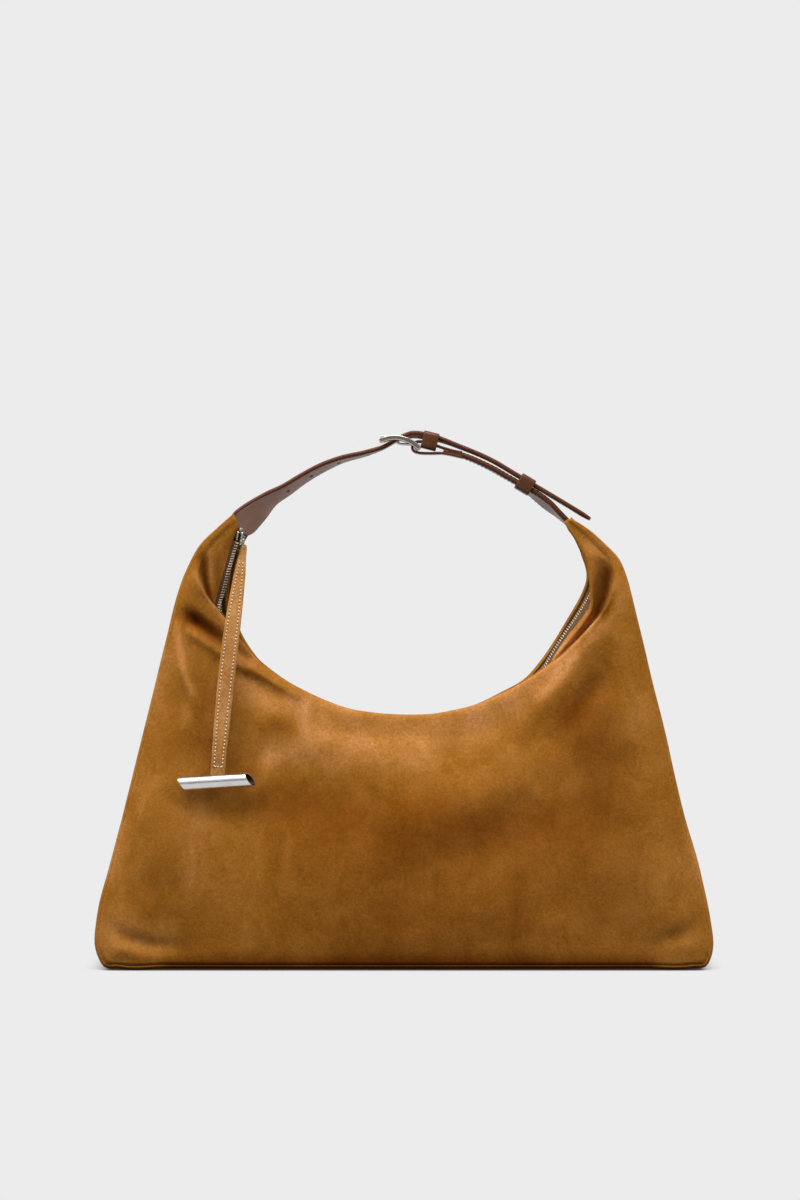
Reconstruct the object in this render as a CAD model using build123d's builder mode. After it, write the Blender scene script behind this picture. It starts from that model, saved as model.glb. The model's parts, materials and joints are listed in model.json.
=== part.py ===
"""Hobo bag: slouched suede body, open zip mouth, buckled leather shoulder strap, zip pull with a metal bar.

Millimetres. +Z up, +X to the right seen from the front, -Y towards the front, origin on the
floor under the middle of the base.
"""

import os
from math import cos, pi, radians, sin, tan

from build123d import *

os.makedirs("parts", exist_ok=True)

# Driving dimensions of the soft body
SUEDE = 1.8
LINING = 0.8
BASE_LENGTH = 472.0
BASE_DEPTH = 116.0
BASE_THICKNESS = 2.5
BASE_CORNER = 14.0
SIDE_HEIGHT = 352.0
HALF_DEPTH_TIP = 9.0
HALF_DEPTH_BASE = 58.0
HALF_GAP_TIP = 8.5
HALF_GAP_MIDDLE = 14.0
BULGE_TIP = 0.8
BULGE_MIDDLE = 9.0
PANEL_FOOT = 3.4
BOARD_THICKNESS = 2.0
FIT = 0.3

# Line of the mouth's rim, from the left horn's tip to the right one (X, Z)
RIM = [
    (-125.5, 337),
    (-133, 325),
    (-142, 300),
    (-134, 257),
    (-95, 225),
    (-48, 203),
    (12, 196),
    (60, 205),
    (97, 224),
    (120, 251),
    (141, 290),
    (145, 308),
    (138, 324),
    (128.6, 333),
]
# Side lines, from a horn's tip down to the base corner (X, Z)
FOOT_RADIUS = 18.0
SIDE_REACH = 240.0
FOOT_TOP = 21.4
LEFT_SIDE = [
    (-125.5, 354),
    (-158, 332),
    (-177, 293),
    (-190, 237),
    (-206, 177),
    (-224, 106),
    (-SIDE_REACH, FOOT_TOP),
]
RIGHT_SIDE = [
    (128.6, 343.5),
    (152, 335),
    (175, 303),
    (189, 247),
    (205, 177),
    (222, 106),
    (SIDE_REACH, FOOT_TOP),
]
SIDE_STATIONS = 10
BASE_STATIONS = 8
RIM_SHARE_SIDE = 0.27
RIM_SHARE_BASE = 0.31

# Zip
TAPE = 0.6
FACING = 1.0
TOOTH_PITCH = 3.0
ZIP_CENTRE_X = 10.5
ZIP_CENTRE_Z = 334.6
ZIP_RADIUS = 140.0
SLIDER_LEAN = 10.0
SLIDER_LENGTH = 11.0
SLIDER_WIDTH = 8.4
SLIDER_PLATE = 1.2
SLIDER_CHANNEL = 2.2

# Pull
LINK_DROP = 6.5
WIRE = 0.5
RING_RADIUS = 2.4
PULL_LENGTH = 186.5
PULL_WIDTH = 10.6
PULL_HEAD_WIDTH = 3.4
PULL_THICKNESS = 2.2
PULL_SIDE_LEAN = 5.8
PULL_FORWARD_LEAN = 17.0
BAR_RADIUS = 5.5
BAR_WALL = 1.0
BAR_LENGTH = 52.0
BAR_TILT = 3.6
BAR_CUT_ANGLE = 32.0
BAR_CUT_FACING = 22.0
PIN_RADIUS = 1.2

# Shoulder strap
STRAP_WIDTH = 18.0
STRAP_THICKNESS = 3.0
CHAPE_THICKNESS = 4.0
CHAPE_PLY = 1.9
HOLE_DIAMETER = 3.6
HEEL_X = 10.8
HEEL_Z = 406.4
HEEL_RADIUS = 1.5
LOOP_INNER = 3.3
FRAME_INNER_WIDTH = 20.0
FRAME_BAR = 3.0
PRONG_RADIUS = 1.0


def on_wire(points):
    """Spline through (X, Z) points, in the plane that faces the front."""
    return Spline(*[(x, 0, z) for x, z in points])


def side_half_depth(z):
    """Half the bag's depth at its side line, which widens from the horn to the base."""
    share = max(0.0, 1 - z / SIDE_HEIGHT)
    return HALF_DEPTH_TIP + (HALF_DEPTH_BASE - HALF_DEPTH_TIP) * share**0.8


rim_line = on_wire(RIM)
left_side = on_wire(LEFT_SIDE)
right_side = on_wire(RIGHT_SIDE)


def foot_corner(side, turn):
    """Point on the rounded bottom corner: side is -1 or 1, turn runs from 0 (side) to 1 (base)."""
    angle = radians(90 * turn)
    x = SIDE_REACH - FOOT_RADIUS * (1 - cos(angle))
    return Vector(side * x, 0, PANEL_FOOT + FOOT_RADIUS * (1 - sin(angle)))


def stations():
    """(Share of the rim, rim point, outer point) of each cross-section, from horn to horn."""
    found = []
    for i in range(SIDE_STATIONS + 1):
        share = i / SIDE_STATIONS
        found.append((RIM_SHARE_SIDE * share, left_side @ share))
    corner_shares = [(1 / 3, 0.3), (2 / 3, 0.7)]
    for turn, share in corner_shares:
        u = RIM_SHARE_SIDE + (RIM_SHARE_BASE - RIM_SHARE_SIDE) * share
        found.append((u, foot_corner(-1, turn)))
    for i in range(BASE_STATIONS + 1):
        share = i / BASE_STATIONS
        u = RIM_SHARE_BASE + (1 - 2 * RIM_SHARE_BASE) * share
        found.append((u, Vector((SIDE_REACH - FOOT_RADIUS) * (2 * share - 1), 0, PANEL_FOOT)))
    for turn, share in reversed(corner_shares):
        u = RIM_SHARE_SIDE + (RIM_SHARE_BASE - RIM_SHARE_SIDE) * share
        found.append((1 - u, foot_corner(1, turn)))
    for i in range(SIDE_STATIONS + 1):
        share = 1 - i / SIDE_STATIONS
        found.append((1 - RIM_SHARE_SIDE * share, right_side @ share))
    return [(u, rim_line @ u, outer) for u, outer in found]


def depth(u, share, outer_z):
    """Half depth of the outside, from the rim (share 0) to the side or base line (share 1)."""
    rim = HALF_GAP_TIP + (HALF_GAP_MIDDLE - HALF_GAP_TIP) * sin(pi * u)
    bulge = BULGE_TIP + (BULGE_MIDDLE - BULGE_TIP) * sin(pi * u) ** 2
    spread = 0.45 * share + 0.55 * sin(pi / 2 * share)
    return rim + (side_half_depth(outer_z) - rim) * spread + bulge * sin(pi * share)


def station_plane(rim, outer):
    """Plane through a rim point and its outer point, standing square to the front."""
    run = (outer - rim).normalized()
    return Plane(origin=rim, x_dir=run, z_dir=(-run.Z, 0, run.X))


def band_section(u, rim, outer, start, end, inset, thickness):
    """Thin closed section of a front wall: start and end are runs in mm from rim and outer line."""
    length = (outer - rim).length
    shares = [(start + (length - end - start) * k / 5) / length for k in range(6)]
    outside = [(s * length, -depth(u, s, outer.Z) + inset) for s in shares]
    inside = [(x, y + thickness) for x, y in outside]
    with BuildSketch(station_plane(rim, outer)) as section:
        with BuildLine():
            front = Spline(*outside)
            back = Spline(*inside)
            Line(front @ 0, back @ 0)
            Line(front @ 1, back @ 1)
        make_face()
    return section.sketch


def strip_section(u, rim, outer, start, width, inset, thickness):
    """Small rectangle that follows the rim just inside the front wall."""
    length = (outer - rim).length
    y = -depth(u, start / length, outer.Z) + inset
    slope = (depth(u, (start + width) / length, outer.Z) - depth(u, start / length, outer.Z)) / width
    with BuildSketch(station_plane(rim, outer)) as section:
        with BuildLine():
            Polyline(
                (start, y),
                (start + width, y - slope * width),
                (start + width, y - slope * width + thickness),
                (start, y + thickness),
                close=True,
            )
        make_face()
    return section.sketch


ALL_STATIONS = stations()

# --- Suede body -------------------------------------------------------------------------------

with BuildPart() as front_panel:
    for u, rim, outer in ALL_STATIONS:
        add(band_section(u, rim, outer, 0, 0, 0, SUEDE))
    loft(ruled=True)

with BuildPart() as back_panel:
    mirror(front_panel.part, about=Plane.XZ)


def gusset_sections(line, side, inset, thickness, first):
    """Rectangles across the bag's side, square to the side line and its foot corner."""
    places = []
    for i in range(first, SIDE_STATIONS + 1):
        share = max(i / SIDE_STATIONS, 0.02)
        places.append((line @ share, line % share))
    for turn in (1 / 3, 2 / 3):
        angle = radians(90 * turn)
        places.append((foot_corner(side, turn), Vector(-side * sin(angle), 0, -cos(angle))))
    for point, run in places:
        inward = Vector(run.Z, 0, -run.X) * side
        centre = point + inward * (inset + thickness / 2)
        half = side_half_depth(point.Z) - SUEDE - 1.6 * inset - 2 * FIT
        with BuildSketch(Plane(origin=centre, x_dir=(0, 1, 0), z_dir=run)) as section:
            Rectangle(2 * half, thickness)
        add(section.sketch)


with BuildPart() as left_gusset:
    gusset_sections(left_side, -1, 0, SUEDE, 0)
    loft(ruled=True)

with BuildPart() as right_gusset:
    gusset_sections(right_side, 1, 0, SUEDE, 0)
    loft(ruled=True)

with BuildPart() as base_panel:
    with BuildSketch() as base_outline:
        RectangleRounded(BASE_LENGTH, BASE_DEPTH, BASE_CORNER)
    extrude(amount=BASE_THICKNESS)

with BuildPart() as base_board:
    with BuildSketch(Plane.XY.offset(BASE_THICKNESS + FIT)) as board_outline:
        RectangleRounded(BASE_LENGTH - 24, BASE_DEPTH - 16, BASE_CORNER - 4)
    extrude(amount=BOARD_THICKNESS)

# --- Lining -----------------------------------------------------------------------------------

LINING_INSET = SUEDE + FIT
LINING_START = 19.0
LINING_END = 6.0

with BuildPart() as front_lining:
    for u, rim, outer in ALL_STATIONS[4:-4]:
        add(band_section(u, rim, outer, LINING_START, LINING_END, LINING_INSET, LINING))
    loft(ruled=True)

with BuildPart() as back_lining:
    mirror(front_lining.part, about=Plane.XZ)

with BuildPart() as left_side_lining:
    gusset_sections(left_side, -1, SUEDE + FIT, LINING, 4)
    loft(ruled=True)

with BuildPart() as right_side_lining:
    gusset_sections(right_side, 1, SUEDE + FIT, LINING, 4)
    loft(ruled=True)

with BuildPart() as base_lining:
    with BuildSketch(Plane.XY.offset(BASE_THICKNESS + BOARD_THICKNESS + 2 * FIT)) as lining_outline:
        RectangleRounded(BASE_LENGTH - 24, BASE_DEPTH - 16, BASE_CORNER - 4)
    extrude(amount=LINING)

# --- Zip: facing, tape and teeth along each rim, end stop ----------------------------------------

ZIP_STATIONS = [s for s in ALL_STATIONS if 0.07 < s[0] < 0.93]
FACING_INSET = SUEDE + FIT
TAPE_INSET = FACING_INSET + FACING + FIT
TOOTH_WIDTH = 1.6
TOOTH_DEPTH = 1.8
TOOTH_REACH = 3.0
TOOTH_DROP = 4.0
TOOTH_SEAT = TAPE_INSET + TAPE + TOOTH_DEPTH + 0.2

with BuildPart() as front_zip_facing:
    for u, rim, outer in ZIP_STATIONS:
        add(strip_section(u, rim, outer, 1.0, 16.0, FACING_INSET, FACING))
    loft(ruled=True)

with BuildPart() as back_zip_facing:
    mirror(front_zip_facing.part, about=Plane.XZ)

with BuildPart() as front_zip_tape:
    for u, rim, outer in ZIP_STATIONS:
        add(strip_section(u, rim, outer, 2.0, 12.0, TAPE_INSET, TAPE))
    loft(ruled=True)

with BuildPart() as back_zip_tape:
    mirror(front_zip_tape.part, about=Plane.XZ)

with BuildPart() as front_zip_teeth:
    first_u = ZIP_STATIONS[0][0]
    last_u = ZIP_STATIONS[-1][0]
    tooth_count = int((last_u - first_u) * rim_line.length / TOOTH_PITCH) - 1
    for i in range(tooth_count):
        u = first_u + (last_u - first_u) * (i + 1) / (tooth_count + 1)
        run = rim_line % u
        inward = Vector(run.Z, 0, -run.X)
        reach = depth(u, 0.03, 100)
        seat = rim_line @ u + inward * TOOTH_DROP + Vector(0, TOOTH_SEAT - reach, 0)
        with Locations(Plane(origin=seat, x_dir=run, z_dir=inward)):
            Box(TOOTH_WIDTH, TOOTH_DEPTH, TOOTH_REACH)

with BuildPart() as back_zip_teeth:
    mirror(front_zip_teeth.part, about=Plane.XZ)

# --- Slider -----------------------------------------------------------------------------------

slider_centre = Vector(ZIP_CENTRE_X - ZIP_RADIUS, 0, ZIP_CENTRE_Z)
slider_top = Vector(cos(radians(SLIDER_LEAN)), 0, -sin(radians(SLIDER_LEAN)))
slider_run = Vector(-sin(radians(SLIDER_LEAN)), 0, -cos(radians(SLIDER_LEAN)))
slider_plane = Plane(origin=slider_centre, x_dir=slider_run, z_dir=slider_top)
PLATE_SEAT = (SLIDER_CHANNEL + SLIDER_PLATE) / 2
EYE_REACH = SLIDER_CHANNEL / 2 + SLIDER_PLATE + 1.3

with BuildPart() as slider_body:
    for seat in (-PLATE_SEAT, PLATE_SEAT):
        with BuildSketch(slider_plane.offset(seat - SLIDER_PLATE / 2)) as plate_outline:
            with Locations((-SLIDER_LENGTH * 0.12, 0)):
                RectangleRounded(SLIDER_LENGTH * 0.76, SLIDER_WIDTH, 1.6)
            with Locations((SLIDER_LENGTH * 0.25, 0)):
                RectangleRounded(SLIDER_LENGTH * 0.5, SLIDER_WIDTH * 0.72, 1.4)
        extrude(amount=SLIDER_PLATE)
    with BuildSketch(slider_plane.offset(-PLATE_SEAT)) as post_outline:
        with Locations((-SLIDER_LENGTH * 0.36, 0)):
            Rectangle(2.2, 2.2, rotation=45)
    extrude(amount=2 * PLATE_SEAT)
    with BuildSketch(Plane(origin=slider_centre, x_dir=slider_run, z_dir=(0, -1, 0))) as bail_outline:
        with BuildLine():
            Polyline(
                (-3.2, PLATE_SEAT),
                (-2.4, EYE_REACH + 0.75),
                (2.4, EYE_REACH + 0.75),
                (3.2, PLATE_SEAT),
                close=True,
            )
        make_face()
        with BuildLine():
            Polyline(
                (-1.9, PLATE_SEAT + 0.65),
                (-1.5, EYE_REACH + 0.1),
                (1.5, EYE_REACH + 0.1),
                (1.9, PLATE_SEAT + 0.65),
                close=True,
            )
        make_face(mode=Mode.SUBTRACT)
    extrude(amount=0.9, both=True)

with BuildPart() as zip_stop:
    with BuildSketch(slider_plane.offset(-1.0)) as stop_outline:
        with Locations((-SLIDER_LENGTH / 2 - 1.6, 0)):
            RectangleRounded(2.0, 6.0, 0.6)
    extrude(amount=2.0)

# --- Pull: wire link, ring, suede strap and metal bar -------------------------------------------

eye = slider_centre + slider_top * (EYE_REACH - 0.58)
link_foot = eye - Vector(0, 0, LINK_DROP)
ring_centre = link_foot + Vector(0, 0, 2 * WIRE + 0.1 - RING_RADIUS)
pull_top = ring_centre - Vector(0, 0, RING_RADIUS)

link_plane = Plane(origin=(eye + link_foot) * 0.5, x_dir=(0, 1, 0), z_dir=(1, 0, 0))

with BuildPart() as puller_link:
    with BuildSketch(link_plane) as link_outline:
        RectangleRounded(5.0, LINK_DROP + 2 * WIRE, 1.2)
        RectangleRounded(5.0 - 4 * WIRE, LINK_DROP - 2 * WIRE, 0.7, mode=Mode.SUBTRACT)
    extrude(amount=WIRE, both=True)

with BuildPart() as pull_ring:
    with Locations(Plane(origin=ring_centre, x_dir=(1, 0, 0), z_dir=(0, -1, 0))):
        Torus(RING_RADIUS, WIRE)

side_lean = radians(PULL_SIDE_LEAN)
forward_lean = radians(PULL_FORWARD_LEAN)
pull_run = Vector(-tan(side_lean), -tan(forward_lean), -1).normalized()
bar_run = Vector(cos(radians(BAR_TILT)), 0, sin(radians(BAR_TILT)))
pull_face = pull_run.cross(Vector(0, 1, 0).cross(pull_run)).normalized() * -1
pull_plane = Plane(origin=pull_top, x_dir=pull_run, z_dir=pull_face)
bar_centre = pull_top + pull_run * (PULL_LENGTH + 1.0)

with BuildPart() as pull_strap:
    with BuildSketch(pull_plane.offset(-PULL_THICKNESS / 2)) as pull_outline:
        with BuildLine():
            Polyline(
                (1.5, -PULL_HEAD_WIDTH / 2),
                (22, -PULL_WIDTH / 2),
                (PULL_LENGTH - 3.0, -PULL_WIDTH / 2),
                (PULL_LENGTH - 3.0, PULL_WIDTH / 2),
                (22, PULL_WIDTH / 2),
                (1.5, PULL_HEAD_WIDTH / 2),
                close=True,
            )
        make_face()
    extrude(amount=PULL_THICKNESS)
    with BuildSketch(Plane(origin=pull_top, x_dir=(0, 1, 0), z_dir=(1, 0, 0))) as head_fold:
        Circle(2.2)
        Circle(WIRE + 0.8, mode=Mode.SUBTRACT)
    extrude(amount=1.5, both=True)
    with BuildSketch(Plane(origin=bar_centre, x_dir=(0, 1, 0), z_dir=bar_run)) as foot_fold:
        Circle(3.6)
    extrude(amount=PULL_WIDTH / 2, both=True)
    with BuildSketch(Plane(origin=bar_centre, x_dir=(0, 1, 0), z_dir=bar_run)) as foot_hole:
        Circle(PIN_RADIUS + 0.5)
    extrude(amount=PULL_WIDTH, both=True, mode=Mode.SUBTRACT)

with BuildPart() as t_bar_tube:
    with BuildSketch(Plane(origin=bar_centre, x_dir=(0, 1, 0), z_dir=bar_run)) as tube_outline:
        Circle(BAR_RADIUS)
        Circle(BAR_RADIUS - BAR_WALL, mode=Mode.SUBTRACT)
    extrude(amount=BAR_LENGTH, both=True)
    for side in (-1, 1):
        cut_run = Vector(cos(radians(BAR_CUT_ANGLE)), 0, sin(radians(BAR_CUT_ANGLE)))
        cut_normal = Vector(cut_run.X, -sin(radians(BAR_CUT_FACING)), cut_run.Z)
        cut_seat = bar_centre + bar_run * (side * BAR_LENGTH / 2)
        split(bisect_by=Plane(origin=cut_seat, z_dir=cut_normal * side), keep=Keep.BOTTOM)
    slot_seat = bar_centre - pull_run * BAR_RADIUS
    with Locations(Plane(origin=slot_seat, x_dir=bar_run, z_dir=pull_run)):
        Box(PULL_WIDTH + 1.6, 5.6, 2 * BAR_WALL + 2.0, mode=Mode.SUBTRACT)

with BuildPart() as t_bar_pin:
    with BuildSketch(Plane(origin=bar_centre, x_dir=(0, 1, 0), z_dir=bar_run)) as pin_outline:
        Circle(PIN_RADIUS)
    extrude(amount=PULL_WIDTH / 2 + 2.4, both=True)
    for side in (-1, 1):
        cap_seat = bar_centre + bar_run * (side * (PULL_WIDTH / 2 + 2.4))
        with Locations(Plane(origin=cap_seat, x_dir=(0, 1, 0), z_dir=bar_run)):
            Cylinder(BAR_RADIUS - BAR_WALL - 0.05, 1.6)

# --- Shoulder strap ------------------------------------------------------------------------------

# Centre line of the holed strap, from its flared end on the left horn to its free tip (X, Z)
HOLED_STRAP = [
    (-123.0, 341),
    (-112, 352.5),
    (-100, 364),
    (-89, 372.5),
    (-73.5, 383.5),
    (-51, 394),
    (-28, 401.5),
    (-16, 405.6),
    (-6, 412),
    (6, 416.2),
    (20, 414.6),
    (46, 406),
    (70, 395.6),
    (86, 386.2),
    (100, 377.9),
    (113, 370.2),
    (128, 361.3),
    (144, 352),
]
# Centre line of the doubled strap under it, from where its plies meet to the right horn (X, Z)
DOUBLED_STRAP = [
    (31, 403.4),
    (44, 400.6),
    (66, 391.6),
    (80, 383.9),
    (94, 375.6),
    (107, 367.0),
    (118, 357),
    (127.6, 345),
]
HOLED_FLARE = [(-150, 17), (-122, 16), (-108, 12.5), (-90, STRAP_WIDTH / 2)]
DOUBLED_FLARE = [(104, STRAP_WIDTH / 2), (114, 10.4), (121, 12), (150, 12.5)]
HOLES_AT_X = (-93.0, -73.5, -51.5, -28.0)
PRONG_SLOT_X = -7.9
PRONG_SLOT_LENGTH = 13.4
FIXED_KEEPER_AT = (21.2, 411.1)
SLIDING_KEEPER_AT = (95.8, 377.2)
KEEPER_LENGTH = 12.0
KEEPER_WALL = 1.5

holed_line = on_wire(HOLED_STRAP)
doubled_line = on_wire(DOUBLED_STRAP)


def strap_profile(line, thickness, steps):
    """Edges of a strap of even thickness, seen from the front."""
    above = []
    below = []
    for i in range(steps + 1):
        share = i / steps
        point = line @ share
        run = line % share
        above.append((point.X - run.Z * thickness / 2, point.Z + run.X * thickness / 2))
        below.append((point.X + run.Z * thickness / 2, point.Z - run.X * thickness / 2))
    top = Spline(*above)
    foot = Spline(*below)
    Line(top @ 0, foot @ 0)
    Line(top @ 1, foot @ 1)


def strap_normal(line, x):
    """Point and outward normal on a strap's centre line at X."""
    low, high = 0.0, 1.0
    for _ in range(40):
        middle = (low + high) / 2
        if (line @ middle).X < x:
            low = middle
        else:
            high = middle
    run = line % low
    return line @ low, Vector(-run.Z, 0, run.X)


with BuildPart() as holed_strap:
    with BuildSketch(Plane.XZ) as holed_profile:
        with BuildLine():
            strap_profile(holed_line, STRAP_THICKNESS, 26)
        make_face()
    extrude(amount=20, both=True)
    with BuildSketch() as holed_plan:
        with BuildLine():
            Polyline(
                *HOLED_FLARE,
                (132, STRAP_WIDTH / 2),
                (141, 6),
                (145, 0),
                (141, -6),
                (132, -STRAP_WIDTH / 2),
                *[(x, -y) for x, y in reversed(HOLED_FLARE)],
                close=True,
            )
        make_face()
    extrude(amount=500, mode=Mode.INTERSECT)
    for x in HOLES_AT_X:
        seat, outward = strap_normal(holed_line, x)
        with Locations(Plane(origin=seat, z_dir=outward)):
            Cylinder(HOLE_DIAMETER / 2, 12, mode=Mode.SUBTRACT)
    seat, outward = strap_normal(holed_line, PRONG_SLOT_X)
    slot_run = outward.cross(Vector(0, 1, 0))
    with BuildSketch(Plane(origin=seat - outward * 6, x_dir=slot_run, z_dir=outward)) as slot:
        SlotOverall(PRONG_SLOT_LENGTH, HOLE_DIAMETER)
    extrude(amount=12, mode=Mode.SUBTRACT)

with BuildPart() as doubled_strap:
    with BuildSketch(Plane.XZ) as doubled_profile:
        with BuildLine():
            strap_profile(doubled_line, CHAPE_THICKNESS, 16)
        make_face()
        with BuildLine():
            fold = ThreePointArc(
                (HEEL_X + 0.8, HEEL_Z + LOOP_INNER + CHAPE_PLY),
                (HEEL_X - LOOP_INNER - CHAPE_PLY, HEEL_Z),
                (HEEL_X + 0.8, HEEL_Z - LOOP_INNER - CHAPE_PLY),
            )
            under = Spline(fold @ 1, (22, 400.6), (34, 400.6), tangents=[(1, -0.15), (1, -0.1)])
            Line(under @ 1, (34, 404.7))
            over = Spline((34, 404.7), (22, 409.2), fold @ 0, tangents=[(-1, 0.35), (-1, 0.1)])
        make_face()
        with BuildLine():
            fold = ThreePointArc(
                (HEEL_X + 0.6, HEEL_Z + LOOP_INNER),
                (HEEL_X - LOOP_INNER, HEEL_Z),
                (HEEL_X + 0.6, HEEL_Z - LOOP_INNER),
            )
            under = Spline(fold @ 1, (20, 402.5), (29, 403.2), tangents=[(1, -0.1), (1, 0.1)])
            over = Spline((29, 403.2), (21, 407.6), fold @ 0, tangents=[(-1, 0.6), (-1, 0.1)])
        make_face(mode=Mode.SUBTRACT)
    extrude(amount=20, both=True)
    with BuildSketch() as doubled_plan:
        with BuildLine():
            Polyline(
                (0, STRAP_WIDTH / 2),
                *DOUBLED_FLARE,
                *[(x, -y) for x, y in reversed(DOUBLED_FLARE)],
                (0, -STRAP_WIDTH / 2),
                close=True,
            )
        make_face()
    extrude(amount=500, mode=Mode.INTERSECT)
    with Locations((HEEL_X - 2, 0, HEEL_Z + 2.5)):
        Box(11, 4.4, 9, mode=Mode.SUBTRACT)


def keeper_plane(place, line):
    """Plane across the strap at a keeper: X along Y, Y outward, Z along the strap."""
    _, outward = strap_normal(line, place[0])
    along = Vector(0, 1, 0).cross(outward)
    return Plane(origin=(place[0], 0, place[1]), x_dir=(0, 1, 0), z_dir=along * -1)


def keeper_section(inner_height):
    """Outline of a leather loop that goes round the strap."""
    RectangleRounded(STRAP_WIDTH + 1.6 + 2 * KEEPER_WALL, inner_height + 2 * KEEPER_WALL, 2.0)
    RectangleRounded(STRAP_WIDTH + 1.6, inner_height, 0.8, mode=Mode.SUBTRACT)


with BuildPart() as fixed_keeper:
    with BuildSketch(keeper_plane(FIXED_KEEPER_AT, holed_line)) as fixed_outline:
        keeper_section(10.6)
    extrude(amount=KEEPER_LENGTH / 2, both=True)

with BuildPart() as sliding_keeper:
    with BuildSketch(keeper_plane(SLIDING_KEEPER_AT, holed_line)) as sliding_outline:
        keeper_section(10.2)
    extrude(amount=KEEPER_LENGTH / 2, both=True)

# --- Buckle --------------------------------------------------------------------------------------

TOE_X = -17.0
TOE_Z = 411.6

with BuildPart() as buckle_frame:
    for side in (-1, 1):
        with BuildSketch(Plane.XZ.offset(side * (FRAME_INNER_WIDTH / 2 + FRAME_BAR / 2))) as side_profile:
            with BuildLine():
                crown = ThreePointArc((TOE_X - 2.2, TOE_Z + 1.2), (-4, 415.2), (HEEL_X + 2.2, HEEL_Z + 0.6))
                ThreePointArc(crown @ 1, (HEEL_X + 1.2, HEEL_Z - 2.0), (HEEL_X - 1.2, HEEL_Z - 1.6))
                belly = ThreePointArc((HEEL_X - 1.2, HEEL_Z - 1.6), (-4, 411.6), (TOE_X + 0.4, TOE_Z - 1.7))
                ThreePointArc(belly @ 1, (TOE_X - 1.8, TOE_Z - 1.2), crown @ 0)
            make_face()
        extrude(amount=FRAME_BAR / 2, both=True)
    long_edges = buckle_frame.edges().filter_by(GeomType.CIRCLE).filter_by(lambda edge: edge.length > 15)
    fillet(long_edges, 0.6)
    with Locations(Plane(origin=(TOE_X, 0, TOE_Z), z_dir=(0, 1, 0))):
        Cylinder(1.6, FRAME_INNER_WIDTH + FRAME_BAR)
    with Locations(Plane(origin=(HEEL_X, 0, HEEL_Z), z_dir=(0, 1, 0))):
        Cylinder(HEEL_RADIUS, FRAME_INNER_WIDTH + FRAME_BAR)

with BuildPart() as buckle_prong:
    with BuildLine() as prong_line:
        Spline(
            (HEEL_X - 2.2, 0, HEEL_Z + 1.2),
            (2.5, 0, 408.6),
            (-4.5, 0, 409.6),
            (-9.0, 0, 412.8),
            (-13.5, 0, 414.5),
            (TOE_X - 1.4, 0, TOE_Z + 3.1),
        )
    with BuildSketch(Plane(origin=prong_line.line @ 0, z_dir=prong_line.line % 0)) as prong_section:
        Circle(PRONG_RADIUS)
    sweep()
    with BuildSketch(Plane.XZ.offset(-1.5)) as prong_eye:
        with Locations((HEEL_X, HEEL_Z)):
            Circle(HEEL_RADIUS + 1.2)
            Circle(HEEL_RADIUS + 0.2, mode=Mode.SUBTRACT)
    extrude(amount=3.0)
    with Locations(Plane(origin=(HEEL_X, 0, HEEL_Z), z_dir=(0, 1, 0))):
        Cylinder(HEEL_RADIUS + 0.2, 6, mode=Mode.SUBTRACT)

PIECES = {
    "front_panel": front_panel,
    "back_panel": back_panel,
    "left_gusset": left_gusset,
    "right_gusset": right_gusset,
    "base_panel": base_panel,
    "base_board": base_board,
    "front_lining": front_lining,
    "back_lining": back_lining,
    "left_side_lining": left_side_lining,
    "right_side_lining": right_side_lining,
    "base_lining": base_lining,
    "front_zip_facing": front_zip_facing,
    "back_zip_facing": back_zip_facing,
    "front_zip_tape": front_zip_tape,
    "back_zip_tape": back_zip_tape,
    "front_zip_teeth": front_zip_teeth,
    "back_zip_teeth": back_zip_teeth,
    "zip_stop": zip_stop,
    "slider_body": slider_body,
    "puller_link": puller_link,
    "pull_ring": pull_ring,
    "pull_strap": pull_strap,
    "t_bar_tube": t_bar_tube,
    "t_bar_pin": t_bar_pin,
    "holed_strap": holed_strap,
    "doubled_strap": doubled_strap,
    "fixed_keeper": fixed_keeper,
    "sliding_keeper": sliding_keeper,
    "buckle_frame": buckle_frame,
    "buckle_prong": buckle_prong,
}
for name, piece in PIECES.items():
    piece.part.label = name
    export_step(piece.part, "parts/%s.step" % name)
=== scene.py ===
"""Hobo bag: suede body, zip, leather shoulder strap and zip pull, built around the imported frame.

Sizes are in millimetres in the tables and helpers here, and every mesh is made in metres.
X runs to the right seen from the front, -Y towards the front, Z up.
"""

import json
import math

import bmesh
import bpy
import numpy as np
from mathutils import Matrix, Vector, noise


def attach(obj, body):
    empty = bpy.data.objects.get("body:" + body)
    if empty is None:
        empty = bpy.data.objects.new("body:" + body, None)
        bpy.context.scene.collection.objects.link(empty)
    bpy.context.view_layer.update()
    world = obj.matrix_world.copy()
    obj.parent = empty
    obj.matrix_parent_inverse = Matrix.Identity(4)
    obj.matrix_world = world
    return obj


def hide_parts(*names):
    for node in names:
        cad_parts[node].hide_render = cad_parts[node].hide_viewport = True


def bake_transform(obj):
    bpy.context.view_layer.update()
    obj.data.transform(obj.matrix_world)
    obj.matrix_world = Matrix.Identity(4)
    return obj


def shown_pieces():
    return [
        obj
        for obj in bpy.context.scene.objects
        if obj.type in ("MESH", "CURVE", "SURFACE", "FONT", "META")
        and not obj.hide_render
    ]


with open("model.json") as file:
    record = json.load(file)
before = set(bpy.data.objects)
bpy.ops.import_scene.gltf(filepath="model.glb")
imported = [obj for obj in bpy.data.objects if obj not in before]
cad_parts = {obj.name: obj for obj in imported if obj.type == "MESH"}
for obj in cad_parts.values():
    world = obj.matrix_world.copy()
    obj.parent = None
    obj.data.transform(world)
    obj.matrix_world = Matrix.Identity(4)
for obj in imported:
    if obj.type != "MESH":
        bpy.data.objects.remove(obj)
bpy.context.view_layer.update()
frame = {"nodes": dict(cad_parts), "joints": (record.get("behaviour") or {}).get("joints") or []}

MM = 0.001
NODES = frame["nodes"]
JOINTS = {joint["name"]: joint for joint in frame["joints"]}


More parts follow.
